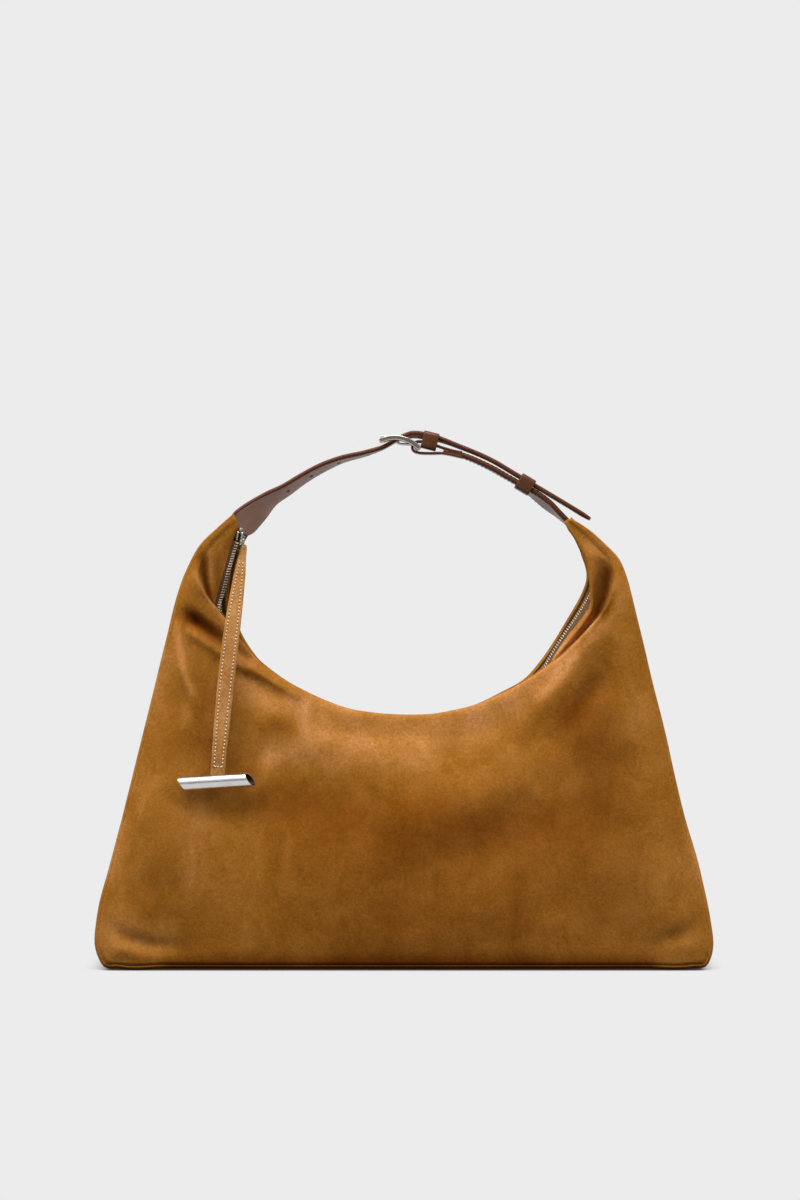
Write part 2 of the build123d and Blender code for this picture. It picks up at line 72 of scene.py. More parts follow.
# --- Curves and grids ---------------------------------------------------------------------------


def smooth_curve(knots):
    """Smooth curve through rows (parameter, value, ...): a function of an array of parameters."""
    table = np.array(knots, float)
    place, value = table[:, 0], table[:, 1:]
    gap = np.diff(place)[:, None]
    secant = np.diff(value, axis=0) / gap
    slope = np.empty_like(value)
    slope[0], slope[-1] = secant[0], secant[-1]
    slope[1:-1] = (secant[:-1] * gap[1:] + secant[1:] * gap[:-1]) / (gap[1:] + gap[:-1])

    def at(where):
        where = np.clip(np.atleast_1d(np.asarray(where, float)), place[0], place[-1])
        k = np.clip(np.searchsorted(place, where, side="right") - 1, 0, len(place) - 2)
        h = gap[k]
        t = ((where - place[k]) / gap[k, 0])[:, None]
        return (
            value[k] * (1 + 2 * t) * (1 - t) ** 2
            + slope[k] * h * t * (1 - t) ** 2
            + value[k + 1] * t * t * (3 - 2 * t)
            + slope[k + 1] * h * t * t * (t - 1)
        )

    return at


def path_curve(points):
    """Smooth curve through points, as a function of length along them; also the whole length."""
    points = np.array(points, float)
    steps = np.linalg.norm(np.diff(points, axis=0), axis=1)
    run = np.concatenate([[0], np.cumsum(steps)])
    return smooth_curve(np.column_stack([run, points])), run[-1]


def unit(vectors):
    return vectors / np.maximum(np.linalg.norm(vectors, axis=-1, keepdims=True), 1e-9)


def grid_faces(rows, columns, closed=False, looped=False):
    """Faces of a grid of points; closed joins the last column to the first, looped the rows too."""
    wide = columns if closed else columns - 1
    tall = rows if looped else rows - 1
    return [
        (
            i * columns + j,
            i * columns + (j + 1) % columns,
            (i + 1) % rows * columns + (j + 1) % columns,
            (i + 1) % rows * columns + j,
        )
        for i in range(tall)
        for j in range(wide)
    ]


def mesh_object(name, points, faces, material, body=None):
    """Smooth-shaded object from points in millimetres."""
    mesh = bpy.data.meshes.new(name)
    mesh.from_pydata((np.asarray(points, float) * MM).tolist(), [], faces)
    mesh.materials.append(material)
    mesh.shade_smooth()
    piece = bpy.data.objects.new(name, mesh)
    bpy.context.scene.collection.objects.link(piece)
    if body:
        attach(piece, body)
    return piece


def sheet_object(name, points, material, thickness, outward, body="bag"):
    """Sheet from a grid of points whose given side is the outside; its thickness goes inwards."""
    rows, columns = points.shape[:2]
    faces = grid_faces(rows, columns)
    middle = points[rows // 2, columns // 2]
    along = points[rows // 2 + 1, columns // 2] - middle
    across = points[rows // 2, columns // 2 + 1] - middle
    if np.dot(np.cross(across, along), outward) < 0:
        faces = [face[::-1] for face in faces]
    piece = mesh_object(name, points.reshape(-1, 3), faces, material, body)
    if thickness:
        solid = piece.modifiers.new("thickness", "SOLIDIFY")
        solid.thickness = thickness * MM
        solid.offset = -1
    return piece


def turn_outwards(piece):
    """Makes the faces of a closed mesh point outwards."""
    mesh = bmesh.new()
    mesh.from_mesh(piece.data)
    bmesh.ops.recalc_face_normals(mesh, faces=mesh.faces)
    mesh.to_mesh(piece.data)
    mesh.free()


def noise_field(points, wavelength, seed):
    """Smooth noise from -1 to 1 at each point, with that wavelength in millimetres."""
    shift = Vector((seed * 17.3, seed * 5.1, seed * 9.7))
    flat = points.reshape(-1, 3) / wavelength
    values = [noise.noise(Vector(p) + shift) for p in flat]
    return np.array(values).reshape(points.shape[:-1])


def line_distance(x, z, line):
    """Distance of each (x, z) from a polyline, and how far along it the nearest place is, 0 to 1."""
    line = np.array(line, float)
    nearest = np.full(x.shape, 1e9)
    share = np.zeros(x.shape)
    count = len(line) - 1
    for i in range(count):
        (ax, az), (bx, bz) = line[i], line[i + 1]
        span = (bx - ax) ** 2 + (bz - az) ** 2
        t = np.clip(((x - ax) * (bx - ax) + (z - az) * (bz - az)) / span, 0, 1)
        away = np.hypot(x - ax - t * (bx - ax), z - az - t * (bz - az))
        closer = away < nearest
        nearest = np.where(closer, away, nearest)
        share = np.where(closer, (i + t) / count, share)
    return nearest, share


# --- Materials ----------------------------------------------------------------------------------


class Shader:
    """A small helper that adds nodes to one procedural material."""

    def __init__(self, name):
        self.material = bpy.data.materials.new(name)
        self.material.use_nodes = True
        self.tree = self.material.node_tree
        self.surface = self.tree.nodes["Principled BSDF"]
        self.place = self.add("ShaderNodeTexCoord").outputs["Object"]

    def add(self, kind, **inputs):
        node = self.tree.nodes.new(kind)
        for key, value in inputs.items():
            self.put(node, key.replace("_", " "), value)
        return node

    def put(self, node, key, value):
        socket = node.inputs[int(key)] if key.isdigit() else node.inputs[key]
        if isinstance(value, bpy.types.NodeSocket):
            self.tree.links.new(value, socket)
        else:
            socket.default_value = value

    def finish(self, **inputs):
        """Sets sockets of the surface shader by name."""
        for key, value in inputs.items():
            self.put(self.surface, key.replace("_", " "), value)
        return self.material

    def noise(self, scale, detail=3.0, roughness=0.55, stretch=None, distortion=0.0):
        where = self.place
        if stretch:
            mapping = self.add("ShaderNodeMapping", Vector=self.place, Scale=stretch)
            where = mapping.outputs["Vector"]
        node = self.add("ShaderNodeTexNoise", Vector=where, Scale=scale, Detail=detail)
        self.put(node, "Roughness", roughness)
        self.put(node, "Distortion", distortion)
        return node.outputs["Fac"]

    def cells(self, scale):
        node = self.add("ShaderNodeTexVoronoi", Vector=self.place, Scale=scale)
        return node.outputs["Distance"]

    def ramp(self, factor, stops):
        """Colour ramp through (position, colour) stops."""
        node = self.add("ShaderNodeValToRGB", Fac=factor)
        band = node.color_ramp
        while len(band.elements) < len(stops):
            band.elements.new(0.5)
        for element, (position, colour) in zip(band.elements, stops):
            element.position = position
            element.color = (*colour, 1) if hasattr(colour, "__len__") else (colour,) * 3 + (1,)
        return node.outputs["Color"]

    def mix(self, factor, first, second, blend="MIX"):
        node = self.tree.nodes.new("ShaderNodeMix")
        node.data_type = "RGBA"
        node.blend_type = blend
        self.put(node, "0", factor)
        for index, value in (("6", first), ("7", second)):
            if isinstance(value, tuple):
                value = (*value, 1)
            self.put(node, index, value)
        return node.outputs[2]

    def math(self, operation, first, second):
        node = self.tree.nodes.new("ShaderNodeMath")
        node.operation = operation
        self.put(node, "0", first)
        self.put(node, "1", second)
        return node.outputs[0]

    def vector_math(self, operation, first, second=(0, 0, 0)):
        node = self.tree.nodes.new("ShaderNodeVectorMath")
        node.operation = operation
        self.put(node, "0", first)
        self.put(node, "1", second)
        return node.outputs["Value" if operation == "LENGTH" else "Vector"]

    def bump(self, height, strength, distance, normal=None):
        node = self.add("ShaderNodeBump", Height=height, Strength=strength, Distance=distance)
        if normal is not None:
            self.put(node, "Normal", normal)
        return node.outputs["Normal"]


# What the colour is multiplied by where the vertex tone is dark or light: partly suede nap, mostly
# painted shade and a painted highlight that is brighter and paler
NAP_AND_PAINTED_SHADE_TINT = (0.46, 0.30, 0.06)
NAP_AND_PAINTED_HIGHLIGHT_TINT = (1.75, 1.95, 4.6)


def suede(name, dark, middle, light):
    """Napped suede: light and dark areas from a vertex tone that is partly suede nap and partly painted
    shade and painted highlight, marks, grain and worn convex edges.
    """
    s = Shader(name)
    # The vertex tone read here carries painted shade and painted highlight as well as the nap's own
    # light and dark.
    nap_and_shading_layer = s.tree.nodes.new("ShaderNodeAttribute")
    nap_and_shading_layer.attribute_name = "nap"
    tone = nap_and_shading_layer.outputs["Fac"]
    patches = s.noise(7.0, 3.0, 0.6, distortion=0.6)
    marks = s.noise(38.0, 4.0, 0.62, stretch=(1.0, 1.0, 0.6), distortion=0.8)
    nap = s.noise(420.0, 3.0, 0.7)
    grain = s.noise(1500.0, 2.0, 0.7)
    blend = s.math("ADD", s.math("MULTIPLY", patches, 0.26), s.math("MULTIPLY", marks, 0.38))
    blend = s.math("ADD", blend, s.math("MULTIPLY", nap, 0.36))
    colour = s.ramp(blend, [(0.36, dark), (0.5, middle), (0.64, light)])
    speckle = s.ramp(grain, [(0.3, 0.72), (0.5, 1.0), (0.7, 1.22)])
    colour = s.mix(0.75, colour, speckle, "MULTIPLY")
    edge = s.add("ShaderNodeNewGeometry").outputs["Pointiness"]
    worn = s.ramp(edge, [(0.42, 0.0), (0.5, 0.15), (0.56, 0.75)])
    colour = s.mix(worn, s.mix(1.0, colour, (0.86, 0.83, 0.78), "MULTIPLY"), colour)
    # Painted shade where the tone is below zero, painted highlight where it is above, mixed with the
    # nap's own tone.
    shaded = s.mix(1.0, colour, NAP_AND_PAINTED_SHADE_TINT, "MULTIPLY")
    darkness = s.ramp(s.math("MULTIPLY", tone, -1.0), [(0.0, 0.0), (1.0, 1.0)])
    colour = s.mix(darkness, colour, shaded)
    nap_and_highlight = s.mix(1.0, colour, NAP_AND_PAINTED_HIGHLIGHT_TINT, "MULTIPLY")
    colour = s.mix(s.ramp(tone, [(0.0, 0.0), (1.0, 1.0)]), colour, nap_and_highlight)
    fine = s.bump(grain, 0.3, 0.0005)
    normal = s.bump(nap, 0.35, 0.0009, fine)
    normal = s.bump(marks, 0.25, 0.003, normal)
    return s.finish(
        Base_Color=colour,
        Roughness=s.ramp(nap, [(0.3, 0.86), (0.7, 0.98)]),
        Specular_IOR_Level=0.05,
        Sheen_Weight=0.22,
        Sheen_Roughness=0.4,
        Sheen_Tint=(1.0, 0.66, 0.34, 1),
        Normal=normal,
    )


def leather(name, dark, light, gloss, shine=1.0):
    """Smooth vegetable-tanned leather: cloudy colour, fine pores and a soft shine."""
    s = Shader(name)
    cloud = s.noise(55.0, 4.0, 0.6)
    pores = s.cells(1700.0)
    crease = s.noise(260.0, 4.0, 0.65, stretch=(1.0, 2.6, 1.0))
    colour = s.ramp(cloud, [(0.34, dark), (0.68, light)])
    colour = s.mix(s.ramp(pores, [(0.0, 0.5), (0.35, 0.0)]), colour, tuple(0.6 * c for c in dark))
    normal = s.bump(pores, 0.06, 0.0002)
    normal = s.bump(crease, 0.08, 0.0004, normal)
    rough = s.ramp(crease, [(0.3, gloss - 0.07), (0.7, gloss + 0.1)])
    return s.finish(
        Base_Color=colour, Roughness=rough, Specular_IOR_Level=shine,
        Coat_Weight=0.2 * shine, Coat_Roughness=0.3, Normal=normal,
    )


def edge_paint(name, dark, light):
    """Painted cut edge of the leather, slightly uneven."""
    s = Shader(name)
    wave = s.noise(420.0, 3.0, 0.6, stretch=(1.0, 1.0, 3.0))
    colour = s.ramp(wave, [(0.3, dark), (0.72, light)])
    normal = s.bump(wave, 0.3, 0.0005)
    rough = s.ramp(wave, [(0.3, 0.34), (0.7, 0.5)])
    return s.finish(Base_Color=colour, Roughness=rough, Specular_IOR_Level=0.22, Normal=normal)


def woven(name, dark, light, pitch):
    """Plain weave with threads of that pitch in metres."""
    s = Shader(name)
    scale = 1.0 / pitch
    wave = []
    for direction in ("X", "Z"):
        node = s.add("ShaderNodeTexWave", Vector=s.place, Scale=scale * 0.32, Distortion=0.4)
        node.bands_direction = direction
        wave.append(node.outputs["Fac"])
    threads = s.math("MULTIPLY", wave[0], wave[1])
    fleck = s.noise(scale * 0.5, 3.0, 0.7)
    blend = s.math("ADD", s.math("MULTIPLY", threads, 0.5), s.math("MULTIPLY", fleck, 0.5))
    colour = s.ramp(blend, [(0.2, dark), (0.75, light)])
    normal = s.bump(threads, 0.5, 0.0003)
    rough = s.ramp(fleck, [(0.3, 0.8), (0.7, 0.95)])
    return s.finish(Base_Color=colour, Roughness=rough, Specular_IOR_Level=0.2, Normal=normal)


BORE_PAINTED_SHADE = (0.035, 0.025, 0.018)
BORE_ROUGHNESS = (0.6, 0.6, 0.6)


def metal(name, dark, light, low_gloss, high_gloss, brush, tube=None):
    """Plated metal with faint polishing marks along one direction.

    A tube, given as centre, axis and inner radius in metres, is dull inside, its bore painted near black
    as shade.
    """
    s = Shader(name)
    marks = s.noise(300.0, 4.0, 0.6, stretch=brush)
    haze = s.noise(90.0, 2.0, 0.5)
    colour = s.ramp(haze, [(0.3, dark), (0.7, light)])
    rough = s.ramp(marks, [(0.3, low_gloss), (0.7, high_gloss)])
    if tube:
        centre, axis, radius = tube
        away = s.vector_math("CROSS_PRODUCT", s.vector_math("SUBTRACT", s.place, centre), axis)
        share = s.math("DIVIDE", s.vector_math("LENGTH", away), radius * 2)
        outside = s.ramp(share, [(0.52, 0.0), (0.55, 1.0)])
        # Painted shade inside the tube's bore.
        colour = s.mix(outside, BORE_PAINTED_SHADE, colour)
        rough = s.mix(outside, BORE_ROUGHNESS, rough)
    normal = s.bump(marks, 0.012, 0.0002)
    return s.finish(Base_Color=colour, Metallic=1.0, Roughness=rough, Normal=normal)


def thread_material(name, dark, light):
    """Waxed sewing thread with a fine twist."""
    s = Shader(name)
    twist = s.noise(2600.0, 2.0, 0.5, stretch=(1.0, 1.0, 0.4))
    colour = s.ramp(twist, [(0.3, dark), (0.7, light)])
    normal = s.bump(twist, 0.4, 0.0002)
    rough = s.ramp(twist, [(0.3, 0.55), (0.7, 0.75)])
    return s.finish(Base_Color=colour, Roughness=rough, Normal=normal)


SUEDE = suede("suede", (0.245, 0.088, 0.004), (0.335, 0.132, 0.016), (0.43, 0.185, 0.036))
PULL_SUEDE = suede("pull_suede", (0.24, 0.095, 0.020), (0.40, 0.185, 0.055), (0.54, 0.29, 0.11))
LEATHER = leather("smooth_leather", (0.115, 0.050, 0.031), (0.185, 0.092, 0.064), 0.42)
KEEPER_LEATHER = leather("keeper_leather", (0.062, 0.018, 0.003), (0.115, 0.037, 0.009), 0.40, 0.3)
# Strap underside leather, its colour lightened as a painted satin reflection.
UNDERSIDE_WITH_PAINTED_SHINE = leather("strap_underside_painted_shine", (0.34, 0.185, 0.135), (0.46, 0.27, 0.205), 0.44, 0.7)
EDGE = edge_paint("leather_edge", (0.070, 0.018, 0.005), (0.115, 0.034, 0.010))
LINING = woven("lining", (0.030, 0.014, 0.006), (0.080, 0.042, 0.020), 0.0009)
TAPE = woven("zip_tape", (0.085, 0.040, 0.015), (0.19, 0.105, 0.048), 0.0008)
BOARD = woven("board", (0.10, 0.07, 0.045), (0.17, 0.13, 0.09), 0.0016)
TOOTH_METAL = metal("tooth_metal", (0.50, 0.43, 0.33), (0.72, 0.64, 0.53), 0.25, 0.4, (1.0, 1.0, 3.0))
NICKEL = metal("nickel", (0.62, 0.59, 0.55), (0.76, 0.73, 0.69), 0.14, 0.24, (1.0, 1.0, 4.0))
POLISH = ((0.66, 0.65, 0.64), (0.76, 0.75, 0.74), 0.22, 0.31, (0.3, 3.0, 3.0))
POLISHED = metal("polished_metal", *POLISH)
BAR_TUBE = (tuple(JOINTS["bar_rock"]["pos_m"]), tuple(JOINTS["bar_rock"]["axis"]), 0.0045)
BAR_METAL = metal("bar_metal", *POLISH, tube=BAR_TUBE)
BUCKLE_METAL = metal("buckle_metal", (0.50, 0.46, 0.40), (0.62, 0.57, 0.50), 0.14, 0.20, (0.3, 1, 1))
CREAM_THREAD = thread_material("cream_thread", (0.60, 0.48, 0.30), (0.85, 0.74, 0.54))
BROWN_THREAD = thread_material("brown_thread", (0.030, 0.011, 0.007), (0.075, 0.030, 0.018))

# --- Guide lines of the body, all against u: 0 at the left horn's tip, 1 at the right one's ----------

# Outline seen from the front (u, x, z)
OUTLINE = smooth_curve([
    (0, -134, 354), (0.035, -147, 342.5), (0.065, -161, 328.5), (0.09, -170, 311.5),
    (0.125, -178.5, 288), (0.165, -188, 250), (0.205, -197, 211), (0.24, -209, 163),
    (0.265, -219, 122), (0.285, -229, 83), (0.3, -238.5, 42), (0.308, -240, 20), (0.316, -235, 5),
    (0.332, -220, 0.4), (0.365, -185, 0.3), (0.635, 185, 0.3), (0.662, 222, 0.4), (0.678, 236.5, 5),
    (0.686, 240, 18), (0.695, 238, 40), (0.712, 229.5, 78), (0.73, 219.5, 116), (0.755, 210, 155),
    (0.79, 199.5, 203), (0.825, 190, 243), (0.855, 183.5, 271), (0.88, 179, 290),
    (0.905, 174.5, 306), (0.93, 168, 320), (0.95, 158, 330.5), (0.975, 145.5, 341.5),
    (1, 131.5, 350.5),
])
# Front ridge: the rim of the mouth in the middle, a fold on each horn (u, x, z)
RIDGE = smooth_curve([
    (0, -131, 349), (0.035, -142.5, 338.5), (0.065, -155.5, 322.5), (0.09, -161.5, 306.5),
    (0.115, -157, 292), (0.14, -149, 281.5), (0.165, -140.5, 272), (0.195, -129.5, 257),
    (0.225, -115.5, 240.5), (0.26, -95.4, 225.2), (0.3, -74.3, 213.4), (0.35, -47.7, 202.5),
    (0.41, -23.5, 197.8), (0.5, 12.5, 196.2), (0.58, 36, 199), (0.64, 58, 204.7), (0.69, 80, 214.7),
    (0.73, 100, 226), (0.765, 117, 237.5), (0.8, 133, 251), (0.83, 146, 264.8),
    (0.855, 154.5, 274.5), (0.88, 161.5, 286.5), (0.905, 164.5, 300), (0.93, 163.5, 312),
    (0.955, 154, 324.5), (0.98, 140.5, 338), (1, 128, 349),
])
# Soft crease between the ridge and the zip (u, x, z)
CREASE = smooth_curve([
    (0, -130, 344), (0.035, -137.5, 333.5), (0.065, -146.5, 321), (0.09, -151, 306.5),
    (0.115, -150.5, 292), (0.14, -147, 279), (0.165, -141, 265.5), (0.195, -131, 250),
    (0.225, -117, 233), (0.26, -97.5, 217), (0.3, -76, 205), (0.35, -49, 194), (0.41, -24, 189),
    (0.5, 12.5, 187), (0.58, 36.5, 190), (0.64, 59, 196), (0.69, 81, 207), (0.73, 101, 220),
    (0.765, 116.5, 237.5), (0.8, 130.5, 254.5), (0.83, 141.5, 268.5), (0.855, 147.3, 279.5),
    (0.88, 147.2, 291.5), (0.905, 146, 302.5), (0.93, 144.5, 313.5), (0.955, 139.5, 325),
    (0.98, 132.5, 336.5), (1, 124.5, 346.5),
])
# Front zip line, where the teeth run (u, x, z)
ZIP_LINE = smooth_curve([
    (0, -128.5, 339), (0.035, -130.5, 331), (0.065, -133.5, 322), (0.09, -137.6, 307),
    (0.115, -141.5, 292), (0.14, -145.2, 278), (0.165, -142, 260), (0.195, -132.5, 243),
    (0.225, -118.5, 226.5), (0.26, -99.5, 210), (0.3, -77.5, 198), (0.35, -50, 187),
    (0.41, -24.5, 182), (0.5, 12.5, 180), (0.58, 37, 183), (0.64, 60, 189.5), (0.69, 82, 201.5),
    (0.73, 101.5, 218), (0.765, 114, 240.5), (0.8, 125.5, 259), (0.83, 136, 274),
    (0.855, 143.5, 286), (0.88, 148.5, 295), (0.905, 149, 304), (0.93, 147.5, 314),
    (0.955, 142, 325.5), (0.98, 133.5, 337), (1, 125.5, 346.5),
])
# Y of the ridge, the fold behind it, the crease and the zip line (u, ridge, fold, crease, zip)
FRONT_DEPTHS = smooth_curve([
    (0, -12, -11.8, -11.5, -8), (0.04, -14, -13.4, -12.4, -7.5), (0.07, -17, -15.3, -14.2, -7.5),
    (0.1, -24, -11.5, -13.5, -8), (0.14, -18.5, -8, -10, -8), (0.2, -15.5, -9.5, -9, -8),
    (0.3, -18, -13, -9.5, -8), (0.5, -15, -11, -9, -8), (0.7, -17, -12, -9.5, -7),
    (0.77, -20, -11, -11, -6), (0.84, -28, -9, -16.5, -6), (0.89, -28.5, -9, -17.5, -3),
    (0.92, -22, -13.5, -17, -2), (0.945, -16, -15.8, -15.2, -3), (0.97, -13.8, -13.4, -12.4, -4),
    (1, -11.5, -11.2, -11, -8),
])
# How far from the ridge towards the crease the fold's bottom lies (u, share)
FOLD_PLACE = smooth_curve([
    (0, 0.35), (0.2, 0.3), (0.7, 0.3), (0.8, 0.3), (0.85, 0.22), (0.92, 0.22), (1, 0.3),
])
# Back rim (u, x, z)
BACK_RIM = smooth_curve([
    (0, -121.5, 340), (0.05, -128.5, 326), (0.1, -134, 303), (0.15, -134.5, 278), (0.2, -126, 254),
    (0.25, -106, 229), (0.31, -76, 209.5), (0.38, -42, 196.5), (0.5, 12, 190.5), (0.6, 44, 197),
    (0.67, 75, 211.5), (0.72, 95.9, 223.5), (0.76, 107.9, 236.9), (0.8, 118.8, 252.5),
    (0.84, 129.9, 270.9), (0.88, 140.9, 290.6), (0.91, 144.8, 303), (0.94, 143, 315),
    (0.97, 135.5, 333), (1, 127.5, 346.5),
])
BACK_DEPTHS = smooth_curve([
    (0, 9), (0.1, 11), (0.3, 13.5), (0.5, 14.5), (0.7, 13.5), (0.85, 11), (1, 9),
])

BAG_HEIGHT = 352.0
DEPTH_TIP = 11.5
DEPTH_BASE = 58.0
BULGE = 9.0
SEAM_INSET = 3.5
CORNER_RADIUS = 9.0
SUEDE_THICKNESS = 1.6


def half_depth(z):
    """Half the bag's depth at its side line."""
    share = np.clip(1 - z / BAG_HEIGHT, 0, 1)
    return DEPTH_TIP + (DEPTH_BASE - DEPTH_TIP) * share**0.8


def even_stations(count):
    """Values of u spaced evenly by the mean length of the outline and the ridge."""
    u = np.linspace(0, 1, 4001)
    steps = [np.linalg.norm(np.diff(line(u), axis=0), axis=1) for line in (OUTLINE, RIDGE)]
    run = np.concatenate([[0], np.cumsum(steps[0] + 1.4 * steps[1])])
    return np.interp(np.linspace(0, run[-1], count), run, u)


def seam_line(u):
    """The seam between the front or back and the gusset: the outline, moved in by the inset."""
    line = OUTLINE(u)
    step = 1e-4
    run = OUTLINE(np.clip(u + step, 0, 1)) - OUTLINE(np.clip(u - step, 0, 1))
    inward = unit(np.column_stack([-run[:, 1], run[:, 0]]))
    tips = np.minimum(1, np.minimum(u, 1 - u) / 0.14)
    return line + inward * (SEAM_INSET * (0.15 + 0.85 * tips))[:, None]


def through(guides, density=14):
    """Smooth profiles through guide points: (stations, guides, 3) to (stations, samples, 3)."""
    gaps = np.linalg.norm(np.diff(guides, axis=1), axis=2) + 1e-6
    secant = np.diff(guides, axis=1) / gaps[..., None]
    slope = np.empty_like(guides)
    slope[:, 0], slope[:, -1] = secant[:, 0], secant[:, -1]
    ahead, behind = gaps[:, 1:, None], gaps[:, :-1, None]
    slope[:, 1:-1] = (secant[:, :-1] * ahead + secant[:, 1:] * behind) / (ahead + behind)
    t = (np.arange(density) / density)[None, None, :, None]
    first, second = guides[:, :-1, None], guides[:, 1:, None]
    h = gaps[..., None, None]
    dense = (
        first * (1 + 2 * t) * (1 - t) ** 2
        + slope[:, :-1, None] * h * t * (1 - t) ** 2
        + second * t * t * (3 - 2 * t)
        + slope[:, 1:, None] * h * t * t * (t - 1)
    )
    dense = dense.reshape(len(guides), -1, 3)
    return np.concatenate([dense, guides[:, -1:]], axis=1)


def at_lengths(profiles, lengths):
    """Points on each profile at given lengths (stations, samples) from its start."""
    steps = np.linalg.norm(np.diff(profiles, axis=1), axis=2)
    found = np.empty(lengths.shape + (3,))
    for i, profile in enumerate(profiles):
        run = np.concatenate([[0], np.cumsum(steps[i])])
        for axis in range(3):
            found[i, :, axis] = np.interp(lengths[i], run, profile[:, axis])
    return found


def profile_lengths(profiles):
    return np.linalg.norm(np.diff(profiles, axis=1), axis=2).sum(axis=1)


def outer_surface(seam, rim, rim_depth, share):
    """Point of a wall between its seam (share 0) and its rim (share 1); depth counts outwards."""
    flat = seam + (rim - seam) * share
    side = half_depth(seam[:, 1])[:, None]
    s = 1 - share
    spread = 0.45 * s + 0.55 * np.sin(np.pi / 2 * s)
    bulge = BULGE * np.clip((330 - flat[:, 1:]) / 250, 0.05, 1) * np.sin(np.pi * s)
    depth = rim_depth + (side - rim_depth) * spread + bulge
    return flat, depth


OUTER_SHARES = (0.0, 0.07, 0.2, 0.38, 0.58, 0.76, 0.9)


def front_profiles(u):
    """Front wall profiles from the seam over the belly and the ridge to the zip line."""
    seam, ridge, crease, zip_line = seam_line(u), RIDGE(u), CREASE(u), ZIP_LINE(u)
    depths = FRONT_DEPTHS(u)
    guides = []
    for share in OUTER_SHARES:
        flat, depth = outer_surface(seam, ridge, -depths[:, :1], share)
        guides.append(np.column_stack([flat[:, 0], -depth[:, 0], flat[:, 1]]))
    fold_share = FOLD_PLACE(u)
    fold = ridge + (crease - ridge) * fold_share
    lip = ridge + (crease - ridge) * fold_share * 0.25
    guides.append(np.column_stack([ridge[:, 0], depths[:, 0], ridge[:, 1]]))
    lip_depth = depths[:, 0] + 0.45 * (depths[:, 1] - depths[:, 0])
    guides.append(np.column_stack([lip[:, 0], lip_depth, lip[:, 1]]))
    for flat, column in ((fold, 1), (crease, 2), (zip_line, 3)):
        guides.append(np.column_stack([flat[:, 0], depths[:, column], flat[:, 1]]))
    return through(np.stack(guides, axis=1))


def back_profiles(u):
    """Back wall profiles from the seam over the back and its rim to its zip line."""
    seam, rim = seam_line(u), BACK_RIM(u)
    depth = BACK_DEPTHS(u)
    guides = []
    for share in OUTER_SHARES:
        flat, out = outer_surface(seam, rim, depth, share)
        guides.append(np.column_stack([flat[:, 0], out[:, 0], flat[:, 1]]))
    inward = unit(seam - rim)
    for run, y_share in ((0.0, 1.0), (1.2, 0.62), (5.0, 0.5), (11.5, 0.34)):
        flat = rim + inward * run
        guides.append(np.column_stack([flat[:, 0], depth[:, 0] * y_share, flat[:, 1]]))
    return through(np.stack(guides, axis=1))


# Folds of the front wall: ((x, z) line, height outwards, half width)
FRONT_FOLDS = [
    ([(-174, 268), (-158, 258), (-140.7, 245.9), (-130.6, 237.8), (-106, 225.5), (-84, 214)], 6.5, 5.5),
    ([(-180, 280), (-168.5, 272.4), (-155, 262.5), (-141.5, 251.5), (-126, 238)], -9.0, 5.5),
    ([(-180, 292), (-178, 268), (-174, 240), (-168, 222), (-158, 204), (-150, 180)], 2.6, 6.0),
    ([(-171, 290), (-168, 268), (-164, 244), (-158, 224)], -2.5, 6.0),
    ([(172, 300), (176, 262), (178, 222), (172, 180)], 3.0, 13.0),
    ([(152, 262), (138, 246), (124, 224), (104, 200), (70, 172)], 3.6, 10.0),
    ([(166, 240), (154, 220), (139, 202), (118, 178)], -3.6, 11.0),
    ([(-172, 128), (-118, 130)], -5.0, 14.0),
    ([(-144, 150), (-140, 178)], -1.5, 10.0),
    ([(122, 184), (90, 160), (59, 138), (20, 116), (-19, 98)], 5.0, 26.0),
    ([(118, 128), (70, 96), (20, 74)], -5.0, 26.0),
    ([(-120, 214), (-90, 186), (-40, 168), (20, 164)], 3.4, 18.0),
    ([(-110, 150), (-70, 128), (-30, 124)], -4.0, 24.0),
    ([(-205, 150), (-190, 110), (-182, 60)], 4.5, 24.0),
    ([(-236, 44), (-222, 28), (-196, 18), (-168, 15)], -3.2, 6.0),
    ([(-226, 18), (-200, 9), (-160, 7)], 2.2, 5.0),
    ([(238, 46), (222, 30), (196, 20)], -2.4, 6.0),
    ([(216, 150), (222, 90), (226, 50)], -2.4, 8.0),
]
# Folds of the back wall, given the same way
BACK_FOLDS = [
    ([(-170, 262), (-140, 238), (-100, 208), (-50, 180)], 3.6, 12.0),
    ([(168, 268), (140, 240), (104, 206), (60, 176)], 4.2, 13.0),
    ([(-150, 215), (-110, 180), (-60, 150)], -3.4, 18.0),
    ([(150, 150), (90, 110), (20, 90)], 4.6, 26.0),
    ([(-180, 120), (-110, 84), (-40, 66)], 4.4, 26.0),
    ([(60, 150), (0, 128), (-60, 122)], -4.2, 26.0),
    ([(-236, 44), (-220, 28), (-190, 18)], -2.8, 6.0),
    ([(236, 44), (220, 28), (190, 18)], -2.8, 6.0),
]
